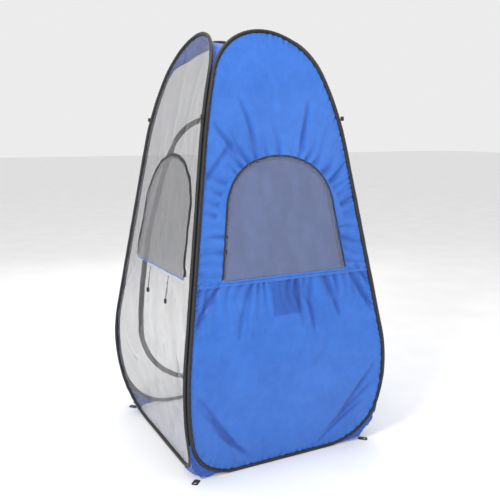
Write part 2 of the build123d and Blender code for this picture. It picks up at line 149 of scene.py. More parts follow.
def hoop_outline(inset, step=0.012):
    """The hoop's outline in the wall's own x and z, inset towards its middle."""
    half = arc_points(0, top_cz, top_r - inset, math.pi / 2, top_angle, step)
    half += arc_points(upper_cx, upper_cz, upper_r - inset, top_angle, LEAN, step)
    bend_z = UPPER_BEND_Z - (CORNER_INSET + inset) * math.sin(LEAN)
    bend = (upper_cx + (upper_r - inset) * math.cos(LEAN), bend_z)
    knee_z = WALL_MAX_Z + (lower_r - inset) * math.sin(LEAN)
    knee = (lower_cx + (lower_r - inset) * math.cos(LEAN), knee_z)
    half += line_points(bend, knee, step)
    half += arc_points(lower_cx, WALL_MAX_Z, lower_r - inset, LEAN, foot_angle, step)
    half += arc_points(foot_cx, foot_cz, FOOT_R - inset, foot_angle, -math.pi / 2, step)
    half += line_points((foot_cx, hoop_low + inset), (0, hoop_low + inset), step)
    return closed_outline(half)


def window_outline(grow, step=0.012):
    """The arched window, grown outwards by grow."""
    along = np.array([-math.sin(WINDOW_LEAN), math.cos(WINDOW_LEAN)])
    inwards = np.array([-math.cos(WINDOW_LEAN), -math.sin(WINDOW_LEAN)])
    crown = np.array([0, WINDOW_TOP_Z - WINDOW_TOP_R])
    corner = np.array([WINDOW_HALF, WINDOW_Z])
    start = corner + inwards * WINDOW_SHOULDER_R - crown
    reach = WINDOW_TOP_R - WINDOW_SHOULDER_R
    half_b = start @ along
    shoulder = crown + start + along * (-half_b + math.sqrt(half_b**2 - start @ start + reach**2))
    crown_angle = math.atan2(shoulder[1] - crown[1], shoulder[0] - crown[0])
    half = arc_points(0, crown[1], WINDOW_TOP_R + grow, math.pi / 2, crown_angle, step)
    half += arc_points(*shoulder, WINDOW_SHOULDER_R + grow, crown_angle, WINDOW_LEAN, step)
    side_top = shoulder - (WINDOW_SHOULDER_R + grow) * inwards
    side_low = side_top - along * (side_top[1] - WINDOW_Z) / along[1]
    half += line_points(tuple(side_top), tuple(side_low), step)
    half += line_points(tuple(side_low), (0, WINDOW_Z), step)
    return closed_outline(half)


def door_outline(grow, step=0.012):
    """The egg-shaped door with its straight hinge side, seen from outside the back."""
    crown_cz = DOOR_TOP_Z - DOOR_CROWN_R
    fall = crown_cz - DOOR_WIDE_Z
    side_r = (fall**2 + DOOR_HALF**2 - DOOR_CROWN_R**2) / (2 * (DOOR_HALF - DOOR_CROWN_R))
    side_cx = side_r - DOOR_HALF
    foot_z = DOOR_LOW_Z + DOOR_FOOT_R
    foot_x = math.sqrt((side_r - DOOR_FOOT_R) ** 2 - (foot_z - DOOR_WIDE_Z) ** 2) - side_cx
    crown_angle = math.atan2(fall, side_cx)
    foot_turn = math.atan2(foot_z - DOOR_WIDE_Z, foot_x + side_cx)
    half = arc_points(0, crown_cz, DOOR_CROWN_R + grow, math.pi / 2, crown_angle, step)
    half += arc_points(-side_cx, DOOR_WIDE_Z, side_r + grow, crown_angle, foot_turn, step)
    half += arc_points(foot_x, foot_z, DOOR_FOOT_R + grow, foot_turn, -math.pi / 2, step)
    half += line_points((foot_x, DOOR_LOW_Z - grow), (0, DOOR_LOW_Z - grow), step)
    edge = DOOR_HINGE_X - grow
    ring = [p for p in closed_outline(half) if p[0] > edge + step / 4]
    cut = next(i for i, p in enumerate(ring) if p[0] < 0 and p[1] > DOOR_WIDE_Z + 0.3)
    low, top = (edge, ring[cut - 1][1] + step / 3), (edge, ring[cut][1] - step / 3)
    return ring[:cut] + line_points(low, top, step) + [top] + ring[cut:]


def cut_across(ring, z, above):
    """The part of an outline above or below height z, closed along a fine straight line."""
    side = 1 if above else -1
    kept = [p for p in ring if side * (p[1] - z) > 0.002]
    near = [p for p in kept if abs(p[1] - z) < 0.03 and p[0] > 0]
    right = min(near, key=lambda p: abs(p[1] - z))
    left = (-right[0], right[1])
    i = kept.index(right)
    line = line_points((right[0], z), (left[0], z), 0.01) + [(left[0], z)]
    if above:
        return kept[: i + 1] + line + kept[i + 1 :]
    return kept[:i] + list(reversed(line)) + kept[i:]


# ---- membranes: cloth pulled tight in a hoop lies inside the bowed wall ----
GRID_STEP = 0.02  # of the grid that the membrane is relaxed on
RELAX_ROUNDS = 1500


def neighbours(grid):
    """The mean of each inner point's four neighbours; the border stays as it is."""
    mean = grid.copy()
    mean[1:-1, 1:-1] = (grid[2:, 1:-1] + grid[:-2, 1:-1] + grid[1:-1, 2:] + grid[1:-1, :-2]) / 4
    return mean


def relaxed_depth():
    """Depth inside the bowed wall of a membrane held by the hoop, as a sampler."""
    xs = np.arange(-0.52, 0.521, GRID_STEP)
    zs = np.arange(0, HEIGHT + GRID_STEP / 2, GRID_STEP)
    gx, gz = np.meshgrid(xs, zs, indexing="ij")
    inside = within(hoop_outline(0.004, 0.03), gx, gz)
    bowed = half_width(gz)
    depth = bowed.copy()
    for _ in range(RELAX_ROUNDS):
        depth[1:-1, 1:-1] = np.where(inside, neighbours(depth), bowed)[1:-1, 1:-1]
    field = bowed - depth

    def sample(x, z):
        fx = np.clip((np.asarray(x) - xs[0]) / GRID_STEP, 0, len(xs) - 1.001)
        fz = np.clip((np.asarray(z) - zs[0]) / GRID_STEP, 0, len(zs) - 1.001)
        ix, iz = fx.astype(int), fz.astype(int)
        tx, tz = fx - ix, fz - iz
        near = field[ix, iz] * (1 - tx) + field[ix + 1, iz] * tx
        far = field[ix, iz + 1] * (1 - tx) + field[ix + 1, iz + 1] * tx
        return near * (1 - tz) + far * tz

    return sample


# how much of the relaxed depth each wall takes; over 1 it sags past a tight membrane
SLACK = {"front": 0.45, "right": 0.45, "back": 0.8, "left": 1.35}
WINDOW_DRIFT, DRIFT_Z, DRIFT_REACH = 0.03, 1.2, 0.25  # the left window, to the front
unit_depth = relaxed_depth()


def smooth_noise(x, z, scale, seed):
    """Value noise with a smooth interpolation, about -1 to 1."""
    rng = np.random.default_rng(seed)
    table = rng.uniform(-1, 1, (64, 64))
    u, v = np.asarray(x) / scale + 31.7, np.asarray(z) / scale + 17.3
    iu, iv = np.floor(u).astype(int), np.floor(v).astype(int)
    fu, fv = u - iu, v - iv
    fu, fv = fu * fu * (3 - 2 * fu), fv * fv * (3 - 2 * fv)
    a = table[iu % 64, iv % 64] * (1 - fu) + table[(iu + 1) % 64, iv % 64] * fu
    b = table[iu % 64, (iv + 1) % 64] * (1 - fu) + table[(iu + 1) % 64, (iv + 1) % 64] * fu
    return a * (1 - fv) + b * fv


def fold(x, z, start, end, width, height):
    """One long soft fold from start to end, a ridge that fades at both ends."""
    ax, az = start
    dx, dz = end[0] - ax, end[1] - az
    length = math.hypot(dx, dz)
    t = ((x - ax) * dx + (z - az) * dz) / length**2
    side = ((x - ax) * dz - (z - az) * dx) / length
    fade = np.clip(t, 0, 1) * np.clip(1 - t, 0, 1) * 4
    side = side + 0.12 * width * np.sin(t * 9)
    return height * np.sqrt(fade) * np.exp(-((side / width) ** 2))


def hoop_gap(x, z):
    """Distance in from the hoop, roughly, from its side, crown and foot arcs."""
    side = half_width(z) - CORNER_INSET - np.abs(x)
    crown = top_r - np.hypot(x, np.maximum(z - top_cz, 0))
    gap = np.where(z > top_cz + 0.09, np.minimum(side, crown), side)
    foot = FOOT_R - np.hypot(np.maximum(np.abs(x) - foot_cx, 0), np.minimum(z - foot_cz, 0))
    return np.where(z < foot_cz, np.minimum(gap, foot), gap)


def puckers(x, z, seed, height):
    """Small scallops where the cloth is sewn to its sleeve."""
    gap = np.maximum(hoop_gap(x, z), 0)
    along = np.arctan2(z - 1.0, x) * 0.8
    fine = np.sin(along * 260 + 2 * smooth_noise(x, z, 0.2, seed))
    ripple = fine + 0.6 * np.sin(along * 170 + seed)
    strength = 0.6 + 0.4 * smooth_noise(x, z, 0.16, seed + 1)
    return height * ripple * strength * np.exp(-gap / 0.035) * np.clip(gap / 0.006, 0, 1)


def ridges(phase, seed_noise):
    """Sharp-topped creases: narrow ridges with flat valleys between them."""
    return np.abs(np.sin(phase + 2.2 * seed_noise)) ** 2.5


def arch_creases(x, z, seed, height):
    """Short creases that fan out of a window's arch, tighter near its binding."""
    cx, cz = x, np.maximum(z - (WINDOW_TOP_Z - WINDOW_TOP_R + 0.02), 0)
    reach = np.hypot(cx, cz)
    angle = np.arctan2(cz, cx)
    side = WINDOW_HALF - (z - WINDOW_Z) * math.tan(WINDOW_LEAN)
    gap = np.where(cz > 0, reach - 0.312, np.abs(x) - side)
    turn = np.where(cz > 0, angle * 21, np.sign(x) * (z - 1.05) * 70)
    strength = 0.55 + 0.45 * smooth_noise(turn / 20, x * 0, 0.09, seed)
    length = 0.085 + 0.05 * smooth_noise(turn / 20, x * 0, 0.05, seed + 1)
    fade = np.clip(gap / 0.01, 0, 1) * np.exp(-np.maximum(gap, 0) / np.maximum(length, 0.02))
    low = np.clip((z - WINDOW_Z) / 0.03, 0, 1)
    return height * low * fade * strength * ridges(turn, smooth_noise(x, z, 0.12, seed + 2))


def seam_gathers(x, z, seed, height):
    """Gathers that hang below the seam under a window."""
    drop = SEAM_Z - z
    length = 0.1 + 0.05 * smooth_noise(x, x * 0, 0.05, seed)
    fade = np.clip(drop / 0.008, 0, 1) * np.exp(-np.maximum(drop, 0) / length)
    strength = 0.6 + 0.4 * smooth_noise(x, x * 0, 0.07, seed + 1)
    turn = x * (75 - 25 * drop)
    return height * fade * strength * ridges(turn, smooth_noise(x, z, 0.1, seed + 2))


# folds in each kind of wall: start, end, half-width and height (inwards positive)
CLOTH_FOLDS = [
    ((-0.2, 1.36), (-0.3, 1.5), 0.011, 0.008),
    ((-0.1, 1.38), (-0.17, 1.62), 0.012, 0.007),
    ((0.12, 1.38), (0.19, 1.6), 0.011, 0.008),
    ((-0.42, 1.18), (-0.22, 1.42), 0.012, 0.008),
    ((0.26, 1.24), (0.36, 1.34), 0.01, 0.007),
    ((-0.32, 0.86), (-0.46, 0.66), 0.014, 0.012),
    ((0.32, 0.86), (0.46, 0.64), 0.014, 0.012),
    ((0.36, 0.87), (0.47, 0.74), 0.01, 0.008),
    ((-0.2, 0.83), (-0.26, 0.6), 0.013, 0.007),
    ((0.06, 0.83), (0.08, 0.62), 0.012, 0.008),
    ((0.11, 0.83), (0.14, 0.58), 0.012, 0.008),
    ((0.21, 0.83), (0.28, 0.62), 0.013, 0.008),
    ((-0.46, 0.42), (-0.26, 0.14), 0.013, 0.009),
    ((-0.44, 0.34), (-0.2, 0.08), 0.011, 0.009),
    ((-0.4, 0.26), (-0.16, 0.04), 0.01, 0.008),
    ((0.46, 0.42), (0.26, 0.16), 0.012, 0.008),
    ((0.44, 0.32), (0.2, 0.09), 0.011, 0.008),
    ((0.4, 0.24), (0.18, 0.04), 0.01, 0.008),
]
FILM_FOLDS = [
    ((-0.2, 1.3), (-0.26, 1.68), 0.016, 0.008),
    ((-0.05, 1.38), (-0.1, 1.84), 0.018, 0.008),
    ((0.08, 1.36), (0.13, 1.8), 0.015, 0.008),
    ((0.22, 1.26), (0.28, 1.6), 0.016, 0.007),
    ((-0.3, 0.9), (-0.47, 0.62), 0.02, 0.01),
    ((0.3, 0.9), (0.46, 0.58), 0.022, 0.01),
    ((-0.15, 0.82), (-0.32, 0.3), 0.026, 0.012),
    ((0.02, 0.83), (-0.05, 0.25), 0.024, 0.01),
    ((0.18, 0.82), (0.3, 0.3), 0.026, 0.012),
    ((-0.46, 0.4), (-0.14, 0.12), 0.03, 0.012),
    ((0.46, 0.42), (0.12, 0.12), 0.03, 0.012),
    ((-0.4, 0.55), (0.35, 0.42), 0.04, 0.007),
]


def wall_depth(wall, x, z):
    """How far inside the bowed wall its cloth or film lies, wrinkles included."""
    x, z = np.asarray(x, float), np.asarray(z, float)
    film = wall in ("left", "back")
    seed = 10 * list(TURNS).index(wall)
    mirror = -1 if wall in ("right", "back") else 1
    depth = SLACK[wall] * unit_depth(x, z)
    edge = np.clip(hoop_gap(x, z) / 0.03, 0, 1)
    wobble = smooth_noise(x, z, 0.3, seed + 2) * 0.012
    for start, end, width, height in FILM_FOLDS if film else CLOTH_FOLDS:
        depth = depth + edge * fold(mirror * x + wobble, z, start, end, width, height)
    broad = smooth_noise(x + 0.4 * z, z, 0.17, seed + 3) * (0.005 if film else 0.003)
    crinkle = smooth_noise(x - 0.3 * z, z + 0.5 * x, 0.055, seed + 4) * (0.0022 if film else 0.0012)
    depth = depth + edge * (broad + crinkle)
    if film:
        return depth + puckers(x, z, seed + 5, 0.0016)
    depth = depth + puckers(x, z, seed + 5, 0.0045)
    return depth + arch_creases(x, z, seed + 6, 0.013) + seam_gathers(x, z, seed + 7, 0.012)


def turned(points, turn):
    """Points, in an array of any shape, turned about the middle of the shelter."""
    a = math.radians(turn)
    c, s = math.cos(a), math.sin(a)
    x, y, z = np.moveaxis(np.asarray(points, float), -1, 0)
    return np.stack([x * c - y * s, x * s + y * c, z], -1)


def on_wall(wall, x, z, out=0.0):
    """Points of a wall's cloth, out metres outside it, in the shared frame."""
    x, z = np.asarray(x, float), np.asarray(z, float)
    y = -half_width(z) + wall_depth(wall, x, z) - out
    if wall == "left":
        free = np.clip(hoop_gap(x, z) / 0.12, 0, 1)
        x = x + WINDOW_DRIFT * free * np.exp(-(((z - DRIFT_Z) / DRIFT_REACH) ** 2))
    return turned(np.stack([x, y, z], -1), TURNS[wall])


# ---- mesh helpers ----
def add_mesh(name, points, faces, material, smooth=True, uvs=None):
    """A mesh object; uvs has one pair for each point."""
    mesh = bpy.data.meshes.new(name)
    mesh.from_pydata([tuple(p) for p in points], [], [tuple(f) for f in faces])
    if uvs is not None:
        layer = mesh.uv_layers.new(name="UVMap")
        layer.data.foreach_set("uv", np.array([uvs[v] for f in faces for v in f], float).ravel())
    mesh.materials.append(material)
    if smooth:
        mesh.shade_smooth()
    mesh.validate()
    obj = bpy.data.objects.new(name, mesh)
    bpy.context.scene.collection.objects.link(obj)
    return obj


def flat_cut(outline, holes, step, seed):
    """Triangles of a flat cut: an outline with holes, filled with a jittered grid."""
    points, edges = [], []
    for loop in [outline] + list(holes):
        first = len(points)
        points += [Vector(p) for p in loop]
        edges += [(first + i, first + (i + 1) % len(loop)) for i in range(len(loop))]
    border = np.array([tuple(p) for p in points])
    rng = np.random.default_rng(seed)
    low, high = border.min(0), border.max(0)
    rows = int((high[1] - low[1]) / (step * 0.87)) + 1
    inner = []
    for r in range(rows):
        z = low[1] + r * step * 0.87
        xs = np.arange(low[0] + (r % 2) * step / 2, high[0], step)
        inner += [(x, z) for x in xs]
    inner = np.array(inner) + rng.uniform(-0.12, 0.12, (len(inner), 2)) * step
    keep = []
    for i in range(0, len(inner), 400):
        block = inner[i : i + 400]
        gap = np.hypot(*(block[:, None] - border[None]).transpose(2, 0, 1)).min(1)
        keep.append(block[gap > step * 0.55])
    points += [Vector(p) for p in np.concatenate(keep)]
    made = geometry.delaunay_2d_cdt(points, edges, [], 0, 1e-7)
    verts = np.array([tuple(v) for v in made[0]])
    faces = np.array([f for f in made[2] if len(f) == 3])
    middle = verts[faces].mean(1)
    good = within(outline, *middle.T)
    for hole in holes:
        good &= ~within(hole, *middle.T)
    faces = faces[good]
    used = np.unique(faces)
    index = np.full(len(verts), -1)
    index[used] = np.arange(len(used))
    return verts[used], index[faces]


def solidify(obj, thickness):
    modifier = obj.modifiers.new("cloth thickness", "SOLIDIFY")
    modifier.thickness = thickness
    modifier.offset = 0
    modifier.use_even_offset = False


def tube(name, path, radius, material, sides=12, closed=False, squash=1.0, up=None):
    """A tube along a path. radius is a number or one per point; squash flattens it."""
    path = np.asarray(path, float)
    count = len(path)
    if closed:
        tangent = np.roll(path, -1, 0) - np.roll(path, 1, 0)
    else:
        tangent = np.gradient(path, axis=0)
    tangent = unit(tangent)
    up = np.asarray(up, float) if up is not None else np.array([0.3, 0.2, 1.0])
    if up.ndim == 1:
        up = np.repeat(up[None], count, 0)
    side = unit(np.cross(tangent, up))
    normal = np.cross(side, tangent)
    radius = np.broadcast_to(np.asarray(radius, float), (count,))
    angles = circle(sides)
    rings = (
        path[:, None]
        + side[:, None] * (np.cos(angles)[None, :, None] * radius[:, None, None])
        + normal[:, None] * (np.sin(angles)[None, :, None] * radius[:, None, None] * squash)
    )
    length = run_length(path)
    points = rings.reshape(-1, 3)
    uvs = [(length[i], j / sides) for i in range(count) for j in range(sides)]
    faces = []
    for i in range(count if closed else count - 1):
        n = (i + 1) % count
        for j in range(sides):
            m = (j + 1) % sides
            faces.append((i * sides + j, i * sides + m, n * sides + m, n * sides + j))
    if not closed:
        faces.append(tuple(reversed(range(sides))))
        faces.append(tuple(range((count - 1) * sides, count * sides)))
    return add_mesh(name, points, faces, material, uvs=uvs)


def join(name, objects):
    """Joins several meshes into the first one."""
    bpy.ops.object.select_all(action="DESELECT")
    for o in objects:
        o.select_set(True)
    bpy.context.view_layer.objects.active = objects[0]
    bpy.ops.object.join()
    objects[0].name = name
    objects[0].data.name = name
    return objects[0]


# ---- materials ----
WAVE = 0.314  # 2 pi / 20: a wave texture's scale is this over the pitch of its stripes


class Surface:
    """A material and its node tree, with short calls that add to it."""

    def __init__(self, name, colour, roughness, **settings):
        self.material = bpy.data.materials.new(name)
        self.material.use_nodes = True
        self.nodes = self.material.node_tree.nodes
        self.links = self.material.node_tree.links
        self.shader = self.nodes["Principled BSDF"]
        self.set(Base_Color=(*colour, 1), Roughness=roughness, **settings)

    def set(self, **settings):
        for key, value in settings.items():
            self.shader.inputs[key.replace("_", " ")].default_value = value

    def coordinates(self, kind, scale=(1, 1, 1)):
        source = self.nodes.new("ShaderNodeTexCoord")
        mapping = self.nodes.new("ShaderNodeMapping")
        mapping.inputs["Scale"].default_value = scale
        self.links.new(source.outputs[kind], mapping.inputs["Vector"])
        return mapping.outputs["Vector"]

    def noise(self, scale, detail=3.0, roughness=0.5):
        """Noise through the object, 0 to 1."""
        node = self.nodes.new("ShaderNodeTexNoise")
        node.inputs["Scale"].default_value = scale
        node.inputs["Detail"].default_value = detail
        node.inputs["Roughness"].default_value = roughness
        self.links.new(self.coordinates("Object"), node.inputs["Vector"])
        return node.outputs["Fac"]

    def wave(self, vector, scale, direction):
        node = self.nodes.new("ShaderNodeTexWave")
        node.bands_direction = direction
        node.inputs["Scale"].default_value = scale
        self.links.new(vector, node.inputs["Vector"])
        return node.outputs["Fac"]

    def threads(self, pitch):
        """Stripes across and along the flat cut."""
        flat = self.coordinates("UV")
        return self.wave(flat, WAVE / pitch, "X"), self.wave(flat, WAVE / pitch, "Y")

    def math(self, operation, a, b):
        node = self.nodes.new("ShaderNodeMath")
        node.operation = operation
        for socket, value in zip(node.inputs, (a, b)):
            if isinstance(value, (int, float)):
                socket.default_value = value
            else:
                self.links.new(value, socket)
        return node.outputs["Value"]

    def bump(self, height, strength, distance, before=None):
        node = self.nodes.new("ShaderNodeBump")
        node.inputs["Strength"].default_value = strength
        node.inputs["Distance"].default_value = distance
        self.links.new(height, node.inputs["Height"])
        if before is not None:
            self.links.new(before, node.inputs["Normal"])
        self.links.new(node.outputs["Normal"], self.shader.inputs["Normal"])
        return node.outputs["Normal"]

    def ramp(self, factor, low, high, start, end):
        node = self.nodes.new("ShaderNodeValToRGB")
        for stop, place, colour in zip(node.color_ramp.elements, (start, end), (low, high)):
            stop.position = place
            stop.color = (*colour, 1)
        self.links.new(factor, node.inputs["Fac"])
        return node.outputs["Color"]

    def paint(self, colour):
        self.links.new(colour, self.shader.inputs["Base Color"])


def shaded(colour, share):
    return tuple(share * c for c in colour)


# vertex marks on the cloth, and the tint that each one multiplies its colour by: painted shade
# where the pocket lies behind the front wall, and painted shade in the creases, folds and flap
# ripples
MARKS = (("pocket_shade", (0.62, 0.66, 0.76)), ("crease_shade", (0.42, 0.52, 0.66)))


def cloth_material(name, dark, light, roughness=0.5, crinkle=0.5, translucent=0.0):
    """Coated plain-weave cloth: fine weave, crinkles and uneven colour, and painted shade from its
    vertex marks.
    """
    made = Surface(name, light, roughness, Sheen_Weight=0.15, Sheen_Roughness=0.4)
    made.set(Specular_IOR_Level=0.45)
    weave = made.math("ADD", *made.threads(0.0009))
    creases = made.noise(26, 5, 0.62)
    patches = made.noise(5, 4, 0.6)
    parts = made.math("MULTIPLY", creases, 0.45), made.math("MULTIPLY", patches, 0.55)
    mix = made.math("ADD", *parts)
    colour = made.ramp(mix, dark, light, 0.3, 0.68)
    # each vertex mark multiplies in painted shade: behind the pocket, and in creases, folds and
    # ripples
    for attribute, tint in MARKS:
        mark = made.nodes.new("ShaderNodeAttribute")
        mark.attribute_name = attribute
        shade = made.nodes.new("ShaderNodeMix")
        shade.data_type = "RGBA"
        shade.blend_type = "MULTIPLY"
        factor, base, over = (shade.inputs[i] for i in (0, 6, 7))
        over.default_value = (*tint, 1)
        made.links.new(mark.outputs["Fac"], factor)
        made.links.new(colour, base)
        colour = shade.outputs[2]
    made.paint(colour)
    first = made.bump(creases, crinkle, 0.006)
    made.bump(weave, 0.25, 0.0004, first)
    if translucent:
        glow = made.nodes.new("ShaderNodeBsdfTranslucent")
        blend = made.nodes.new("ShaderNodeMixShader")
        blend.inputs["Fac"].default_value = translucent
        made.links.new(made.ramp(mix, dark, light, 0.3, 0.68), glow.inputs["Color"])
        made.links.new(made.shader.outputs["BSDF"], blend.inputs[1])
        made.links.new(glow.outputs["BSDF"], blend.inputs[2])
        surface = made.nodes["Material Output"].inputs["Surface"]
        made.links.new(blend.outputs["Shader"], surface)
    return made.material


def ribbed_material(name, dark, light, pitch, roughness=0.7, slant=0.0):
    """Ribbed tape or sleeve cloth: ribs across its length, slanted by slant."""
    made = Surface(name, light, roughness, Sheen_Weight=0.06, Sheen_Roughness=0.4)
    flat = made.coordinates("UV", (WAVE / pitch, slant, 1))
    ribs = made.wave(flat, 1.0, "DIAGONAL" if slant else "X")
    fine = made.noise(90)
    made.paint(made.ramp(made.math("MULTIPLY", ribs, fine), dark, light, 0.1, 0.6))
    first = made.bump(ribs, 0.6, 0.0008)
    made.bump(fine, 0.4, 0.001, first)
    return made.material


def film_material(name, colour, alpha):
    """Clear flexible film: mostly see-through, denser edge on, with a glossy coat."""
    made = Surface(name, colour, 0.12, Coat_Weight=1.0, Coat_Roughness=0.03)
    made.set(Specular_IOR_Level=0.7)
    facing = made.nodes.new("ShaderNodeLayerWeight")
    facing.inputs["Blend"].default_value = 0.25
    edge_on = made.math("MULTIPLY", facing.outputs["Facing"], 0.16)
    made.links.new(made.math("ADD", edge_on, alpha), made.shader.inputs["Alpha"])
    made.paint(made.ramp(made.noise(7), shaded(colour, 0.9), colour, 0.3, 0.7))
    made.bump(made.noise(18, 4, 0.6), 0.35, 0.01)
    made.material.surface_render_method = "BLENDED"
    return made.material


def metal_material(name, colour, roughness):
    made = Surface(name, colour, roughness, Metallic=1.0)
    wear = made.noise(300)
    made.paint(made.ramp(wear, shaded(colour, 0.7), colour, 0.35, 0.65))
    made.bump(wear, 0.15, 0.0003)
    return made.material


def mesh_material(name, colour, alpha):
    """Fine window netting: threads over small see-through holes."""
    made = Surface(name, colour, 0.6, Sheen_Weight=0.2, Alpha=alpha)
    net = made.math("MAXIMUM", *made.threads(0.0024))
    made.paint(made.ramp(net, shaded(colour, 0.75), colour, 0.2, 0.9))
    made.bump(net, 0.5, 0.0006)
    made.material.surface_render_method = "BLENDED"
    return made.material


# name, dark colour, light colour, roughness, crinkle, share of light let through
blue_cloth = cloth_material(
    "blue polyester", (0.022, 0.13, 0.54), (0.04, 0.19, 0.68), 0.32, 0.3, 0.14
)
roof_cloth = cloth_material(
    "blue roof polyester", (0.022, 0.11, 0.52), (0.04, 0.18, 0.7), 0.4, 0.4, 0.25
)
gusset_cloth = cloth_material(
    "blue gusset polyester", (0.012, 0.075, 0.4), (0.03, 0.15, 0.6), 0.4, 0.6, 0.15
)
flap_cloth = cloth_material(
    "blue flap polyester", (0.04, 0.12, 0.42), (0.12, 0.24, 0.66), 0.5, 0.6, 0.2
)
pocket_cloth = cloth_material("pocket polyester", (0.02, 0.08, 0.42), (0.04, 0.14, 0.55), 0.5, 0.4)
# name, dark colour, light colour, pitch of the ribs, roughness
sleeve_cloth = ribbed_material(
    "black hoop sleeve", (0.003, 0.003, 0.003), (0.013, 0.011, 0.013), 0.0022, 0.5
)
zip_tape = ribbed_material("zip tape", (0.004, 0.004, 0.004), (0.013, 0.013, 0.014), 0.0012)
piping_cloth = ribbed_material(
    "olive black binding", (0.009, 0.008, 0.006), (0.035, 0.031, 0.02), 0.0014, 0.65
)
webbing = ribbed_material(
    "black webbing", (0.008, 0.008, 0.009), (0.035, 0.035, 0.038), 0.0018, 0.75
)
ribbon_cloth = ribbed_material("violet ribbon", (0.05, 0.04, 0.2), (0.11, 0.1, 0.42), 0.0012, 0.6)
elastic_cloth = ribbed_material(
    "elastic cord", (0.012, 0.012, 0.012), (0.06, 0.06, 0.06), 0.001, slant=2.0
)
clear_film = film_material("clear film", (0.15, 0.15, 0.16), 0.16)
door_film = film_material("clear door film", (0.15, 0.15, 0.16), 0.14)
window_net = mesh_material("grey window net", (0.22, 0.25, 0.38), 0.34)
side_net = mesh_material("dark window net", (0.2, 0.2, 0.215), 0.5)
slider_metal = metal_material("nickel slider", (0.72, 0.72, 0.74), 0.25)
wire_metal = metal_material("spring steel", (0.5, 0.51, 0.53), 0.35)
crimp_metal = metal_material("crimped aluminium", (0.75, 0.75, 0.77), 0.4)
toggle_plastic = Surface("black toggle", (0.012, 0.012, 0.012), 0.35).material
thread = Surface("pale blue thread", (0.2, 0.3, 0.7), 0.6).material
dark_thread = Surface("dark thread", (0.03, 0.03, 0.05), 0.6).material


# ---- camera, light and floor ----
EYE = Vector((-1.395, -2.781, 1.4535))
AIM = Vector((0.4532, 0.8737, -0.1767))
LENS_MM, SENSOR_MM = 46.6, 36
FLOOR_HALF = 40

camera_data = bpy.data.cameras.new("camera")
camera_data.lens = LENS_MM
camera_data.sensor_width = SENSOR_MM
camera = bpy.data.objects.new("camera", camera_data)
camera.location = EYE
camera.rotation_euler = AIM.to_track_quat("-Z", "Y").to_euler()
bpy.context.scene.collection.objects.link(camera)
bpy.context.scene.camera = camera
bpy.context.scene.view_settings.view_transform = "Standard"


def area_light(name, place, target, size, power):
    data = bpy.data.lights.new(name, "AREA")
    data.size = size
    data.energy = power
    light = bpy.data.objects.new(name, data)
    light.location = place
    light.rotation_euler = (Vector(target) - Vector(place)).to_track_quat("-Z", "Y").to_euler()
    bpy.context.scene.collection.objects.link(light)


def studio():
    """Four soft lights, a white sky and a pale floor."""
    middle = (0, 0, 0.9)
    area_light("key", (-3.4, -2.2, 3.8), middle, 1.0, 150)
    area_light("fill", (2.4, -4.2, 2.9), (0, -0.4, 1.3), 1.3, 30)
    area_light("top", (0.2, 0.3, 4.6), middle, 2.0, 55)
    area_light("rim", (1.0, 3.6, 2.6), middle, 2.4, 30)
    world = bpy.data.worlds.new("studio")
    world.use_nodes = True
    sky = world.node_tree.nodes["Background"].inputs
    sky["Color"].default_value = (1, 1, 1, 1)
    sky["Strength"].default_value = 0.84
    bpy.context.scene.world = world
    pale = Surface("pale floor", (0.86, 0.86, 0.86), 0.75)
    pale.paint(pale.ramp(pale.noise(3), (0.84, 0.84, 0.84), (0.88, 0.88, 0.88), 0.3, 0.7))
    size = FLOOR_HALF
    corners = [(-size, -size, 0), (size, -size, 0), (size, size, 0), (-size, size, 0)]
    floor = add_mesh("floor", corners, [(0, 1, 2, 3)], pale.material, smooth=False)


studio()

# ---- hoops in their sleeves ----
BODIES = {wall: f"{wall}_wall" for wall in TURNS}
arc_z = np.linspace(0, HEIGHT, 400)
arc_s = run_length(np.stack([arc_z, half_width(arc_z)], -1))


def flat_uv(verts):
    """Flat-cut coordinates: x, and the length along the bowed wall."""
    return np.stack([verts[:, 0], np.interp(verts[:, 1], arc_z, arc_s)], -1)


def rides(obj, body, node=None):
    """Puts a piece on its body, in place of its CAD node."""
    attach(obj, body)
    if node:
        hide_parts(node)
    return obj


def mark(obj, name, values):
    """A number at each vertex that the cloth material darkens by, as painted shade."""
    attribute = obj.data.attributes.new(name, "FLOAT", "POINT")
    attribute.data.foreach_set("value", values.astype(np.float32))


CLOTH_THICK, NET_THICK, FILM_THICK = 0.0012, 0.0008, 0.0006
# how far outside its wall's cloth each layer lies; inside is negative
BINDING_OUT, COVER_OUT, HEM_OUT, LIP_OUT = 0.0024, 0.0022, 0.0012, 0.0006
TAPE_OUT, DOOR_TAPE_OUT, COIL_OUT, DOOR_COIL_OUT = -0.0032, -0.003, -0.0046, -0.0052
POCKET_OUT = -0.0045
SLIDER_OUT, FLAP_OUT, FLAP_EDGE_OUT, PULL_OUT = -0.0052, -0.0065, -0.0066, -0.0098


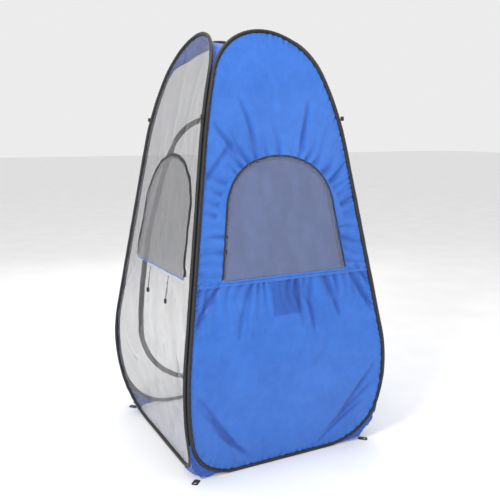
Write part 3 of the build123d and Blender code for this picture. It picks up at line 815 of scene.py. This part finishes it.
def sew(
    name, wall, outline, holes, material, node, body=None,
    step=0.011, out=0.0, thickness=CLOTH_THICK, seed=1, ripple=0.0,
):
    """A sheet on a wall: cut flat, lifted, riding its body, standing for its CAD node."""
    verts, faces = flat_cut(outline, holes, step, seed)
    a, b, c = (verts[faces[:, k]] for k in range(3))
    clockwise = (b - a)[:, 0] * (c - a)[:, 1] - (b - a)[:, 1] * (c - a)[:, 0] < 0
    faces[clockwise] = faces[clockwise][:, ::-1]
    x, z = verts.T
    uvs = flat_uv(verts)
    if ripple:
        waves = smooth_noise(x, z * 0.3, 0.035, seed) + 0.5 * smooth_noise(x, z, 0.03, seed + 1)
        out = out - ripple * (1 + waves) * np.clip((z - WINDOW_Z) / 0.04, 0, 1)
    obj = add_mesh(name, on_wall(wall, x, z, out), faces, material, uvs=uvs)
    solidify(obj, thickness)
    rides(obj, body or BODIES[wall], node)
    # painted shade along the flap's ripples
    if ripple:
        mark(obj, "crease_shade", np.clip(0.35 - 0.8 * waves, 0, 0.75))
    # painted shade in the cloth's creases and folds, darker where they stand further inwards
    if name.startswith("cloth"):
        relief = wall_depth(wall, x, z) - SLACK[wall] * unit_depth(x, z)
        mark(obj, "crease_shade", np.clip((relief - 0.0015) / 0.008, 0, 1))
    # painted shade: the front cloth darkened where the pocket lies behind it
    if name == "cloth_lower_front":
        edge_x = POCKET_HALF - np.abs(x - POCKET_X)
        edge_z = np.minimum(z - POCKET_LOW_Z, POCKET_HIGH_Z + 0.01 - z)
        mark(obj, "pocket_shade", np.clip(np.minimum(edge_x, edge_z) / 0.006, 0, 1))
    return obj


def wall_normals(wall, path):
    """Outward directions of a wall at each point of its flat path."""
    x, z = path[:, 0], path[:, 1]
    e = 0.002
    across = on_wall(wall, x + e, z) - on_wall(wall, x - e, z)
    up = on_wall(wall, x, z + e) - on_wall(wall, x, z - e)
    return unit(np.cross(across, up))


def resample(path, step, closed=False):
    path = np.asarray(path, float)
    if closed:
        path = np.vstack([path, path[:1]])
    length = run_length(path)
    count = max(3, round(length[-1] / step))
    t = np.linspace(0, length[-1], count + 1)
    if closed:
        t = t[:-1]
    return np.stack([np.interp(t, length, path[:, i]) for i in range(path.shape[1])], -1)


def strip(
    name, wall, path, width, out, material, node=None, closed=False, thick=0.4,
    wobble=0.0, seed=3, step=0.006, sides=10, body=None,
):
    """A band sewn along a flat path on a wall, width wide and thick times as thick."""
    path = resample(path, step, closed)
    if wobble:
        x, z = path.T
        path = path + wobble * np.stack([smooth_noise(x, z, 0.03, seed + k) for k in (0, 1)], -1)
    centre = on_wall(wall, path[:, 0], path[:, 1], out)
    up = wall_normals(wall, path)
    obj = tube(name, centre, width / 2, material, sides=sides, closed=closed, squash=thick, up=up)
    return rides(obj, body or BODIES[wall], node)


def stitches(name, wall, path, pitch, out, material=thread, long=0.0028, wide=0.0009):
    """A row of short raised stitches along a flat path on a wall."""
    path = resample(path, pitch)
    middle = on_wall(wall, path[:, 0], path[:, 1], out)
    along = unit(np.gradient(middle, axis=0))
    normal = wall_normals(wall, path)
    side = np.cross(along, normal)
    points, faces = [], []
    for c, t, n, s in zip(middle, along, normal, side):
        first = len(points)
        points += [c - t * long / 2, c + t * long / 2]
        for a in range(4):
            turn = a * math.pi / 2
            around = (n * math.cos(turn) + s * math.sin(turn)) * wide / 2
            points += [c - t * long * 0.3 + around, c + t * long * 0.3 + around]
        for a in range(4):
            p, q = first + 2 + 2 * a, first + 2 + 2 * ((a + 1) % 4)
            faces += [(first, q, p), (p, q, q + 1, p + 1), (first + 1, p + 1, q + 1)]
    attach(add_mesh(name, points, faces, material), BODIES[wall])


hoop_path = resample(hoop_outline(0.0, 0.006), 0.0055, closed=True)
SLEEVE_DRAWN_R, SLEEVE_OUT_RISE = 0.0081, 0.15
for index, (wall, turn) in enumerate(TURNS.items()):
    x, z = hoop_path.T
    centre = turned(np.stack([x, -half_width(z), z], -1), turn)
    seed = 60 + index
    waves = np.sin(np.arange(len(x)) * 1.9 + 3 * smooth_noise(x, z, 0.11, seed))
    gathers = 0.00035 * waves + 0.0006 * smooth_noise(x, z, 0.045, seed + 1)
    radius = SLEEVE_DRAWN_R + np.where(z < 0.03, np.minimum(gathers, 0), gathers)
    up = turned(np.tile([0, -1, SLEEVE_OUT_RISE], (len(x), 1)), turn)
    sleeve = tube(f"sleeve_{wall}", centre, radius, sleeve_cloth, sides=16, closed=True, up=up)
    for vertex in sleeve.data.vertices:
        vertex.co.z = max(vertex.co.z, 0.0)
    rides(sleeve, BODIES[wall], f"hoop_sleeve_{wall}")
    strip(
        f"sleeve_lip_{wall}", wall, resample(hoop_outline(0.0075, 0.006), 0.006, closed=True),
        0.005, LIP_OUT, sleeve_cloth, closed=True, thick=0.3, wobble=0.0008, seed=seed,
    )
    sewn = hoop_outline(0.0086, 0.006)
    stitches(f"sleeve_stitch_{wall}", wall, sewn, 0.005, 0.0014, dark_thread)
    for node, material in (("hoop_wire", wire_metal), ("wire_ferrule", crimp_metal)):
        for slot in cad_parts[f"{node}_{wall}"].material_slots:
            slot.material = material

# ---- cloth and film walls ----
whole = hoop_outline(0.003)
hole = window_outline(0.0)
for wall in ("front", "right"):
    upper, lower = cut_across(whole, SEAM_Z, True), cut_across(whole, SEAM_Z, False)
    sew(
        f"cloth_upper_{wall}", wall, upper, [hole], blue_cloth, f"upper_fabric_{wall}",
        seed=11, step=0.0065,
    )
    sew(
        f"cloth_lower_{wall}", wall, lower, [], blue_cloth, f"lower_fabric_{wall}",
        seed=12, step=0.0075,
    )
    reach = float(half_width(SEAM_Z)) - 0.022
    seam = [(x, SEAM_Z) for x in np.linspace(-reach, reach, 120)]
    strip(f"seam_hem_{wall}", wall, seam, 0.013, HEM_OUT, blue_cloth, thick=0.22, wobble=0.0006)
    for label, rise in (("low", -0.0045), ("high", 0.0045)):
        row = [(x, SEAM_Z + rise) for x, _ in seam]
        stitches(f"seam_stitch_{label}_{wall}", wall, row, 0.0046, 0.003)
for wall, opening, seed in (("left", hole, 13), ("back", door_outline(0.0), 14)):
    sew(
        f"film_{wall}", wall, whole, [opening], clear_film, f"film_wall_{wall}",
        seed=seed, thickness=FILM_THICK,
    )

# ---- arched windows: net, binding, zip tape with its teeth, and inner flap ----
def arch(grow):
    """A window's outline without its foot line, from its right foot to its left."""
    outline = window_outline(grow)
    foot = min(z for _, z in outline)
    run = [p for p in outline if p[1] > foot + 0.001]
    first = next(
        i for i in range(len(run)) if run[i - 1][0] > 0 and run[i][0] < 0 and run[i][1] < 1.0
    )
    return run[first - 1 :: -1] + run[: first - 1 : -1]


for wall in ("front", "right", "left"):
    clear = wall == "left"
    flap = f"flap_{wall}"
    sew(
        f"net_{wall}", wall, window_outline(0.002), [], side_net if clear else window_net,
        f"window_mesh_{wall}", seed=15, thickness=NET_THICK,
    )
    strip(
        f"binding_{wall}", wall, arch(0.0045), 0.0095 if clear else 0.0075, BINDING_OUT,
        piping_cloth, f"window_piping_{wall}", thick=0.34,
        wobble=0.004 if clear else 0.0006, seed=21,
    )
    stitches(f"binding_stitch_{wall}", wall, arch(0.0072), 0.005, 0.0042, dark_thread)
    foot = [(x, WINDOW_Z) for x in np.linspace(-WINDOW_HALF, WINDOW_HALF, 60)]
    foot_wide = 0.005 if clear else 0.01
    strip(f"window_foot_{wall}", wall, foot, foot_wide, HEM_OUT, blue_cloth, thick=0.25)
    strip(
        f"zip_tape_{wall}", wall, arch(0.0015), 0.019, TAPE_OUT, zip_tape,
        f"window_zip_{wall}", thick=0.14, wobble=0.0012 if clear else 0.0,
    )
    strip(
        f"zip_coil_{wall}", wall, arch(-0.001), 0.0034, COIL_OUT, zip_tape,
        thick=0.8, step=0.003, sides=8,
    )
    sew(
        flap, wall, window_outline(-0.006), [], clear_film if clear else flap_cloth,
        f"window_flap_{wall}", body=flap, out=FLAP_OUT, seed=16,
        ripple=0.003, step=0.009,
    )
    strip(
        f"flap_edge_{wall}", wall, arch(-0.0105), 0.008, FLAP_EDGE_OUT, zip_tape,
        thick=0.2, body=flap,
    )


# ---- door in the back wall ----
def curved_side(outline, hinge_x):
    """A door outline without its hinge side, from its top round to its foot."""
    run = [p for p in outline if p[0] > hinge_x + 0.002]
    cut = next(i for i, p in enumerate(run) if p[0] < 0 and p[1] > 0.8)
    return run[cut:] + run[:cut]


ring = door_outline(0.0)
curved = curved_side(ring, DOOR_HINGE_X)
edge = curved_side(door_outline(-0.0085), DOOR_HINGE_X + 0.0085)
hinge_z = [z for x, z in ring if x < DOOR_HINGE_X + 0.002]
hinge = [(DOOR_HINGE_X, z) for z in np.linspace(min(hinge_z), max(hinge_z), 90)]
sew(
    "door_film", "back", door_outline(-0.004), [], door_film, "door_panel",
    seed=17, thickness=FILM_THICK, body="door",
)
strip("door_edge", "back", edge, 0.0085, 0.0, zip_tape, thick=0.2, body="door")
strip(
    "door_zip_tape", "back", curved, 0.027, DOOR_TAPE_OUT, zip_tape, "door_zip",
    thick=0.14, wobble=0.0012,
)
strip(
    "door_zip_coil", "back", curved, 0.0042, DOOR_COIL_OUT, zip_tape,
    thick=0.8, step=0.003, sides=8,
)
for name, path, width in (("door_zip_cover", curved, 0.026), ("door_hinge_tape", hinge, 0.022)):
    strip(name, "back", path, width, COVER_OUT, piping_cloth, thick=0.2, wobble=0.001)


# ---- zip sliders and their pulls ----
def placed(obj, wall, x, z, out, slope):
    """Sets a small part, modelled flat in x and y, inside a wall with its y along the zip."""
    p = on_wall(wall, [x, x, x], [z, z + 0.004, z], out)
    n = wall_normals(wall, np.array([[x, z]]))[0]
    up = unit(p[1] - p[0])
    across = np.cross(up, -n)
    a = math.radians(slope)
    y_dir = up * math.cos(a) + across * math.sin(a)
    x_dir = across * math.cos(a) - up * math.sin(a)
    matrix = np.eye(4)
    matrix[:3] = np.stack([x_dir, y_dir, -n, p[0]], -1)
    obj.data.transform(Matrix(matrix))
    return obj


def plate(bm, outline, z_low, z_high):
    """A flat plate from an outline, with both faces."""
    low = [bm.verts.new((x, y, z_low)) for x, y in outline]
    high = [bm.verts.new((x, y, z_high)) for x, y in outline]
    bm.faces.new(list(reversed(low)))
    bm.faces.new(high)
    for i in range(len(outline)):
        j = (i + 1) % len(outline)
        bm.faces.new((low[i], low[j], high[j], high[i]))


def from_bmesh(name, bm, material, bevel=0.0004):
    mesh = bpy.data.meshes.new(name)
    bmesh.ops.recalc_face_normals(bm, faces=bm.faces)
    bm.to_mesh(mesh)
    bm.free()
    mesh.materials.append(material)
    obj = bpy.data.objects.new(name, mesh)
    bpy.context.scene.collection.objects.link(obj)
    if bevel:
        modifier = obj.modifiers.new("soft edges", "BEVEL")
        modifier.width = bevel
        modifier.segments = 2
    return obj


def bar(half_x, low_y, high_y):
    return [(-half_x, low_y), (half_x, low_y), (half_x, high_y), (-half_x, high_y)]


def slider_part(name):
    """A slider: two tapered plates with a gap for the teeth, and a bridge on top."""
    bm = bmesh.new()
    right = [(0.0062, -0.0088), (0.0068, 0.002), (0.0048, 0.0088)]
    taper = [(-0.0062, -0.0088)] + right + [(-0.0048, 0.0088), (-0.0068, 0.002)]
    for outline, z_low, z_high in (
        (taper, 0.0002, 0.0012),
        (taper, 0.0026, 0.0036),
        (bar(0.0022, -0.002, 0.0075), 0.001, 0.0028),
        (bar(0.0014, -0.0055, -0.0035), 0.0034, 0.0056),
        (bar(0.0014, 0.005, 0.007), 0.0034, 0.0056),
        (bar(0.0014, -0.0055, 0.007), 0.0052, 0.0064),
    ):
        plate(bm, outline, z_low, z_high)
    return from_bmesh(name, bm, slider_metal)


PULL_HALF, PULL_THICK, PULL_DROP = 0.0125, 0.0016, 0.0075
EYE_Y, EYE_HALF_X, EYE_HALF_Y = -0.0045, 0.0016, 0.0052


def pull_part(name):
    """A tapered pull with a long eye near its foot."""
    bm = bmesh.new()
    count = 40
    outer, inner = [], []
    for a in circle(count):
        y = math.sin(a) * PULL_HALF
        half_x = 0.0024 + 0.0012 * (0.5 - y / (2 * PULL_HALF))
        outer.append((half_x * math.copysign(abs(math.cos(a)) ** 0.6, math.cos(a)), y))
        inner.append((EYE_HALF_X * math.cos(a), EYE_Y + math.sin(a) * EYE_HALF_Y))
    outer_low, inner_low, outer_high, inner_high = (
        [bm.verts.new((x, y - PULL_DROP, z)) for x, y in loop]
        for z in (0.0, PULL_THICK)
        for loop in (outer, inner)
    )
    for low, high, flip in (
        (outer_low, outer_high, 1),
        (inner_low, inner_high, -1),
        (outer_low, inner_low, -1),
        (outer_high, inner_high, 1),
    ):
        for i in range(count):
            j = (i + 1) % count
            bm.faces.new((low[i], low[j], high[j], high[i])[::flip])
    return from_bmesh(name, bm, slider_metal, 0.0003)


def zip_end(wall, x, z, slope, names, bodies, nodes):
    """A slider and its pull at one place on a zip."""
    slider = placed(slider_part(names[0]), wall, x, z, SLIDER_OUT, slope)
    rides(slider, bodies[0], nodes[0])
    pull = placed(pull_part(names[1]), wall, x, z, PULL_OUT, slope)
    rides(pull, bodies[1], nodes[1])


SLIDER_RISE = 0.048
slider_x = -WINDOW_HALF + SLIDER_RISE * math.tan(WINDOW_LEAN)
for wall in ("front", "right", "left"):
    names = (f"slider_{wall}", f"pull_{wall}")
    nodes = (f"zip_slider_{wall}", f"zip_pull_{wall}")
    zip_end(wall, slider_x, WINDOW_Z + SLIDER_RISE, -math.degrees(WINDOW_LEAN), names, names, nodes)
door_fall = DOOR_TOP_Z - DOOR_CROWN_R - DOOR_WIDE_Z
door_side_r = (door_fall**2 + DOOR_HALF**2 - DOOR_CROWN_R**2) / (2 * (DOOR_HALF - DOOR_CROWN_R))
for end, z in (("upper", 1.068), ("lower", 1.028)):
    climb = math.asin((z - DOOR_WIDE_Z) / door_side_r)
    x = DOOR_HALF - door_side_r * (1 - math.cos(climb))
    names = (f"door_zip_slider_{end}", f"door_zip_pull_{end}")
    bodies = (f"door_slider_{end}", f"door_pull_{end}")
    zip_end("back", x, z, math.degrees(climb), names, bodies, bodies)

# ---- pocket behind the front wall ----
left, right = POCKET_X - POCKET_HALF, POCKET_X + POCKET_HALF
corners = [
    (right, POCKET_HIGH_Z), (right, POCKET_LOW_Z), (left, POCKET_LOW_Z), (left, POCKET_HIGH_Z)
]
pocket = [p for i in range(4) for p in line_points(corners[i], corners[(i + 1) % 4], 0.01)]
sew(
    "pocket", "front", pocket, [], pocket_cloth, "inner_pocket",
    out=POCKET_OUT, seed=18,
)

# ---- roof: four crown arcs with cloth that dips between them ----
GRID = 56  # cells along each side of the roof
ROOF_ROUNDS = 4000


def crown(turn):
    """One wall's crown arc, from the corner on its left to the corner on its right."""
    half = arc_points(0, top_cz, top_r - 0.003, math.pi / 2, top_angle, 0.004)
    side_z = half[-1][1]
    right = np.array(half + [(top_r * math.cos(top_angle), side_z - 0.004)])
    ring = np.vstack([np.stack([-right[::-1, 0], right[::-1, 1]], -1), right[1:]])
    points = np.stack([ring[:, 0], -half_width(ring[:, 1]), ring[:, 1]], -1)
    w = float(half_width(points[0, 2])) - 0.006
    corner_l, corner_r = [-w, -w, points[0, 2]], [w, -w, points[-1, 2]]
    return turned(resample(np.vstack([corner_l, points, corner_r]), 0.001), turn)


def along(path, count):
    """Points evenly spaced along a path by its index."""
    t = np.linspace(0, len(path) - 1, count + 1)
    return np.stack([np.interp(t, np.arange(len(path)), path[:, i]) for i in range(3)], -1)


def roof_points():
    """The roof's grid: spanned by the four arcs, relaxed, then given its folds."""
    arcs = {wall: along(crown(turn), GRID) for wall, turn in TURNS.items()}
    front, back = arcs["front"][:, None], arcs["back"][::-1][:, None]
    left, right = arcs["left"][::-1][None], arcs["right"][None]
    s = np.linspace(0, 1, GRID + 1)[:, None, None]
    t = np.linspace(0, 1, GRID + 1)[None, :, None]
    ruled = (1 - t) * front + t * back + (1 - s) * left + s * right
    near = (1 - s) * (1 - t) * front[0] + s * (1 - t) * front[-1]
    far = (1 - s) * t * back[0] + s * t * back[-1]
    grid = ruled - near - far
    for _ in range(ROOF_ROUNDS):
        grid = neighbours(grid)
    x, y = grid[..., 0], grid[..., 1]
    steps = np.arange(GRID + 1)
    from_edge = np.minimum(steps, GRID - steps)
    inner = np.minimum(1, np.minimum(from_edge[:, None], from_edge[None]) / 6)
    turns = np.arctan2(y, x) * 12 + 2.5 * smooth_noise(x, y, 0.15, 41)
    spokes = 0.004 * np.sin(turns) * np.clip(np.hypot(x, y) / 0.12, 0, 1)
    folds = 0.008 * smooth_noise(x, y, 0.11, 42) + 0.003 * smooth_noise(x, y, 0.04, 43)
    grid[..., 2] += inner * (spokes + folds - 0.008)
    return grid


def grid_piece(name, grid, material, keep=lambda i, j: True):
    """A mesh from the cells of a grid that keep wants, whole or the half it names."""
    rows, cols = grid.shape[:2]
    used, points, faces, uvs = {}, [], [], []

    def vertex(i, j):
        if (i, j) not in used:
            used[i, j] = len(points)
            points.append(grid[i, j])
            uvs.append((grid[i, j][0], grid[i, j][1]))
        return used[i, j]

    for i in range(rows - 1):
        for j in range(cols - 1):
            ring = [(i, j), (i + 1, j), (i + 1, j + 1), (i, j + 1)]
            verdict = keep(i, j)
            if verdict == "low":
                ring.pop(3)
            elif verdict == "high":
                ring.pop(1)
            if verdict:
                faces.append(tuple(vertex(*corner) for corner in ring))
    return add_mesh(name, points, faces, material, uvs=uvs)


THIN_SHARE = 0.35  # a curved strip whose cloth fills less of its box is given its mean width


def declare_patch(obj, thickness=CLOTH_THICK):
    """A freely shaped patch: measures its flat size from its own cloth, and gives it its thickness.
    """
    area = float(sum(p.area for p in obj.data.polygons))
    points = np.array([v.co for v in obj.data.vertices])
    centred = points - points.mean(0)
    spread = centred @ np.linalg.svd(centred, full_matrices=False)[2].T
    length, width = (float(v) for v in np.ptp(spread, axis=0)[:2])
    share = area / (width * length)
    if share < THIN_SHARE:
        width = area / length
    elif share > 1:
        width, length = width * math.sqrt(share), length * math.sqrt(share)
    solidify(obj, thickness)


roof_grid = roof_points()
HALF = GRID // 2
for name, (x_side, y_side), bodies in (
    ("front_left", (-1, -1), ("front_wall", "left_wall")),
    ("front_right", (1, -1), ("front_wall", "right_wall")),
    ("back_left", (-1, 1), ("left_wall", "back_wall")),
):
    piece = grid_piece(
        f"roof_{name}", roof_grid, roof_cloth,
        lambda i, j: (i >= HALF) == (x_side > 0) and (j >= HALF) == (y_side > 0),
    )
    declare_patch(piece)
    # two points of a narrow band over the corner, from the first wall to the second
    near, far = (0.1875 * x_side, 0.2125 * y_side, 1.8), (0.2125 * x_side, 0.1875 * y_side, 1.8)
    start, end = (far, near) if name == "back_left" else (near, far)
    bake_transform(piece)
    if name == "front_left":
        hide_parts("roof")
# the last quarter is in two, because the corner under it is the fold's open pivot
for label, body, half in (("a", "right_wall", "low"), ("b", "back_wall", "high")):
    piece = grid_piece(
        f"roof_back_right_{label}", roof_grid, roof_cloth,
        lambda i, j: min(i, j) >= HALF and (half if i == j else (i > j) == (half == "low")),
    )
    declare_patch(piece)
    rides(piece, body)

# ---- corners: a bound seam between two sleeves, and a crumpled gusset at the ground ----
CORNER_BODIES = {
    "front_right": ("front_wall", "right_wall", 0),
    "back_right": ("right_wall", "back_wall", 90),
    "back_left": ("back_wall", "left_wall", 180),
    "front_left": ("left_wall", "front_wall", 270),
}
OPEN_CORNER = "back_right"
GUSSET_THICK = 0.0014


def corner_patches(prefix, corner, grid, halves, thickness):
    """A corner's cloth: one piece, or in halves on its two walls at the open corner."""
    first, second, turn = CORNER_BODIES[corner]
    grid = turned(grid, turn)
    made = []
    if corner == OPEN_CORNER:
        for label, body, keep in zip("ab", (first, second), halves):
            piece = grid_piece(f"{prefix}_{corner}{label}", grid, gusset_cloth, keep)
            declare_patch(piece, thickness)
            rides(piece, body)
            made.append(piece)
        return made
    piece = grid_piece(f"{prefix}_{corner}", grid, gusset_cloth)
    declare_patch(piece, thickness)
    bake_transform(piece)
    return [piece]


seam_z = np.linspace(0.2, 1.7, 300)
SEAM_SAG = 0.004
for corner in CORNER_BODIES:
    w = half_width(seam_z)
    columns = []
    for k in np.linspace(0, 1, 7):
        sag = SEAM_SAG * math.sin(math.pi * k)
        x, y = w - CORNER_INSET * (1 - k) - sag, -w + CORNER_INSET * k + sag
        columns.append(np.stack([x, y, seam_z], -1))
    halves = (lambda i, j: i < 3), (lambda i, j: i >= 3)
    grid = np.stack(columns, 0)
    corner_patches("corner_seam", corner, grid, halves, CLOTH_THICK)


def gusset_grid(seed):
    """The patch between two foot arcs and the ground, crumpled, for the front right corner."""
    rows, cols = 36, 44
    angles = np.linspace(foot_angle, -math.pi / 2, rows)
    x, z = foot_cx + FOOT_R * np.cos(angles), foot_cz + FOOT_R * np.sin(angles)
    w = half_width(z)
    a = np.stack([x, -w + 0.001, z], -1)
    b = np.stack([w - 0.001, -x, z], -1)
    out = np.array([1, -1, 0]) / math.sqrt(2)
    grid = np.zeros((rows, cols, 3))
    for i in range(rows):
        down = i / (rows - 1)
        bulge = np.linalg.norm(a[i] - b[i]) * (0.86 - 0.1 * down)
        peak = (a[i] + b[i]) / 2 + out * bulge
        peak[2] = max(0.006, a[i][2] * (1 - 0.15 * down))
        for j in range(cols):
            t = j / (cols - 1)
            p = (1 - t) ** 2 * a[i] + 2 * t * (1 - t) * peak + t**2 * b[i]
            edge = min(1, 5 * min(t, 1 - t)) * min(1, 6 * (down + 0.02))
            u, v = t * 0.9, down * 0.5
            rumple = (
                0.011 * smooth_noise(u, v, 0.13, seed)
                + 0.006 * smooth_noise(u + 0.3 * v, v, 0.055, seed + 1)
                + 0.0025 * smooth_noise(u, v, 0.025, seed + 2)
            )
            rise = np.array([0, 0, 0.006 * smooth_noise(u, v, 0.08, seed + 3)])
            p = p + edge * (out * rumple + rise)
            p[2] = max(p[2], 0.0012)
            grid[i, j] = p
    return grid


for index, corner in enumerate(CORNER_BODIES):
    halves = (lambda i, j: j < 21), (lambda i, j: j >= 21)
    grid = gusset_grid(10 * (index + 1))
    pieces = corner_patches(
        "gusset_cloth", corner, grid, halves, GUSSET_THICK
    )
    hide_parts(f"gusset_{corner}")

# ---- webbing tabs: one with a peg hole at each foot, a small loop at each shoulder ----
PEG_TAB_L, PEG_TAB_W, PEG_TAB_CORNER_R, PEG_HOLE_R = 0.043, 0.027, 0.006, 0.006
GUY_Z, GUY_ROWS, GUY_SIDES = 1.52, 6, 26


def rounded(cx, long, wide, r, count=6):
    """A rectangle with round corners, centred on x = cx."""
    points = []
    for sx, sy, start in ((1, 1, 0), (-1, 1, 90), (-1, -1, 180), (1, -1, 270)):
        for k in range(count + 1):
            a = math.radians(start + 90 * k / count)
            x, y = sx * (long / 2 - r) + r * math.cos(a), sy * (wide / 2 - r) + r * math.sin(a)
            points.append((cx + x, y))
    return points


def peg_tab(wall, corner):
    turn = TURNS[wall] - 45
    inner_end = math.sqrt(2) * float(half_width(0))
    hole_x = inner_end + 0.03
    hole = [(hole_x + PEG_HOLE_R * math.cos(a), PEG_HOLE_R * math.sin(a)) for a in circle(24)]
    outline = rounded(inner_end + 0.022, PEG_TAB_L, PEG_TAB_W, PEG_TAB_CORNER_R)
    verts, faces = flat_cut(outline, [hole], 0.003, 5)
    lift = 0.0016 + 0.0006 * np.sin(verts[:, 0] * 260)
    points = turned(np.stack([verts[:, 0], verts[:, 1], lift], -1), turn)
    tab = add_mesh(f"peg_loop_{corner}", points, faces, webbing, uvs=verts)
    solidify(tab, 0.0022)
    rides(tab, BODIES[wall], f"peg_tab_{corner}")
    a, r = circle(28), PEG_HOLE_R + 0.0008
    ring = turned(np.stack([hole_x + r * np.cos(a), r * np.sin(a), 0 * a + 0.0026], -1), turn)
    eyelet = tube(
        f"peg_eyelet_{corner}", ring, 0.0009, toggle_plastic, sides=8, closed=True, up=(0, 0, 1)
    )
    rides(eyelet, BODIES[wall])


def guy_tab(wall, corner):
    low, high = (np.array(v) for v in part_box(f"guy_tab_{corner}"))
    w = float(half_width(GUY_Z))
    out = unit(turned([w - CORNER_INSET, -w, 0], TURNS[wall]))
    side = np.array([-out[1], out[0], 0])
    a = circle(GUY_SIDES)[:, None]
    loop = (low + high) / 2 + out * (0.0072 * np.cos(a) - 0.001) + side * 0.0012 * np.sin(a)
    heights = np.linspace(-0.0095, 0.0095, GUY_ROWS)
    points = np.concatenate([loop + np.array([0, 0, k]) for k in heights])
    faces = []
    for r in range(GUY_ROWS - 1):
        for i in range(GUY_SIDES):
            j = (i + 1) % GUY_SIDES
            low_row, high_row = r * GUY_SIDES, (r + 1) * GUY_SIDES
            faces.append((low_row + i, low_row + j, high_row + j, high_row + i))
    uvs = [(k * 0.0018, r * 0.004) for r in range(GUY_ROWS) for k in range(GUY_SIDES)]
    guy = add_mesh(f"guy_loop_{corner}", points, faces, webbing, uvs=uvs)
    solidify(guy, 0.0009)
    rides(guy, BODIES[wall], f"guy_tab_{corner}")


for wall, corner in CORNERS.items():
    peg_tab(wall, corner)
    guy_tab(wall, corner)

# ---- ties that hang inside the left wall, under its window ----
TIE_X, TIE_TOP_Z, RIBBON_L = 0.122, 0.835, 0.046
LOOP_HALF, LOOP_TOP, LOOP_LOW, ELASTIC_R, ELASTIC_L = 0.0045, -0.0019, -0.052, 0.0013, 0.1039
TOGGLE_PROFILE = (
    (0.0035, 0.0113), (0.0058, 0.0098), (0.0066, 0.0075), (0.0062, 0.004), (0.0066, 0.0)
)  # radius and height of its rings, down to its middle
LEAN_UP = np.array([0, math.sin(LEAN), math.cos(LEAN)])
LEAN_IN = np.array([0, math.cos(LEAN), -math.sin(LEAN)])


def by_ribbon(x0, x, y, depth):
    """A point by a ribbon's foot: x across, y up the wall, depth inside it."""
    z = TIE_TOP_Z - RIBBON_L
    base = np.array([x0 + x, -float(half_width(z)), z])
    return turned(base + LEAN_UP * y + LEAN_IN * depth, TURNS["left"])


def tie_ribbon(label, x0, lift):
    columns = []
    for k in np.linspace(-1, 1, 5):
        column = []
        for v in np.linspace(0, 1, 20):
            x = k * 0.0045 + 0.0012 * math.sin(4 * v) * v
            depth = 0.0024 + lift + 0.0015 * math.sin(3 * math.pi * v + k)
            column.append(by_ribbon(x0, x, RIBBON_L * (1 - v), depth))
        columns.append(column)
    ribbon = grid_piece(f"ribbon_{label}", np.array(columns), ribbon_cloth)
    for corner in ribbon.data.uv_layers[0].data:
        corner.uv = (corner.uv[1], corner.uv[0])
    declare_patch(ribbon, 0.0009)
    rides(ribbon, "left_wall", "tie_ribbons" if label == "a" else None)


def tie_elastic(label, route):
    curve = bpy.data.curves.new(f"tie_elastic_{label}", "CURVE")
    curve.dimensions = "3D"
    curve.bevel_depth = ELASTIC_R
    curve.bevel_resolution = 4
    curve.resolution_u = 12
    spline = curve.splines.new("NURBS")
    spline.points.add(len(route) - 1)
    for point, place in zip(spline.points, route):
        point.co = (*place, 1)
    spline.order_u = 3
    spline.use_endpoint_u = True
    curve.materials.append(elastic_cloth)
    elastic = bpy.data.objects.new(f"tie_elastic_{label}", curve)
    bpy.context.scene.collection.objects.link(elastic)
    return rides(elastic, "left_wall", f"tie_loop_{label}")


def tie_toggle(label, centre):
    """A barrel toggle on both runs of the loop."""
    sides = 24
    bm = bmesh.new()
    below = [(r, -y) for r, y in reversed(TOGGLE_PROFILE[:-1])]
    rings = [
        [bm.verts.new((r * math.cos(a), r * math.sin(a), y)) for a in circle(sides)]
        for r, y in (*TOGGLE_PROFILE, *below)
    ]
    for lower, upper in zip(rings, rings[1:]):
        for i in range(sides):
            j = (i + 1) % sides
            bm.faces.new((lower[i], lower[j], upper[j], upper[i]))
    bm.faces.new(rings[0])
    bm.faces.new(list(reversed(rings[-1])))
    toggle = from_bmesh(f"toggle_{label}", bm, toggle_plastic, 0)
    toggle.data.shade_smooth()
    toggle.data.transform(Matrix.Translation(Vector(centre)))
    return rides(toggle, "left_wall", "tie_toggles" if label == "a" else None)


for label, x0 in (("a", -TIE_X), ("b", TIE_X)):
    lift = wall_depth("left", [x0], [TIE_TOP_Z - RIBBON_L])[0]
    depth = 0.0033 + lift
    down = [(-0.4, LOOP_TOP), (-1, 0.25 * LOOP_LOW), (-1, 0.75 * LOOP_LOW), (-0.45, LOOP_LOW)]
    loop = down + [(-x, y) for x, y in reversed(down)]
    route = [by_ribbon(x0, LOOP_HALF * x, y, depth) for x, y in loop]
    tie_ribbon(label, x0, lift)
    elastic = tie_elastic(label, route)
    toggle = tie_toggle(label, by_ribbon(x0, 0, LOOP_LOW - 0.0145, depth))
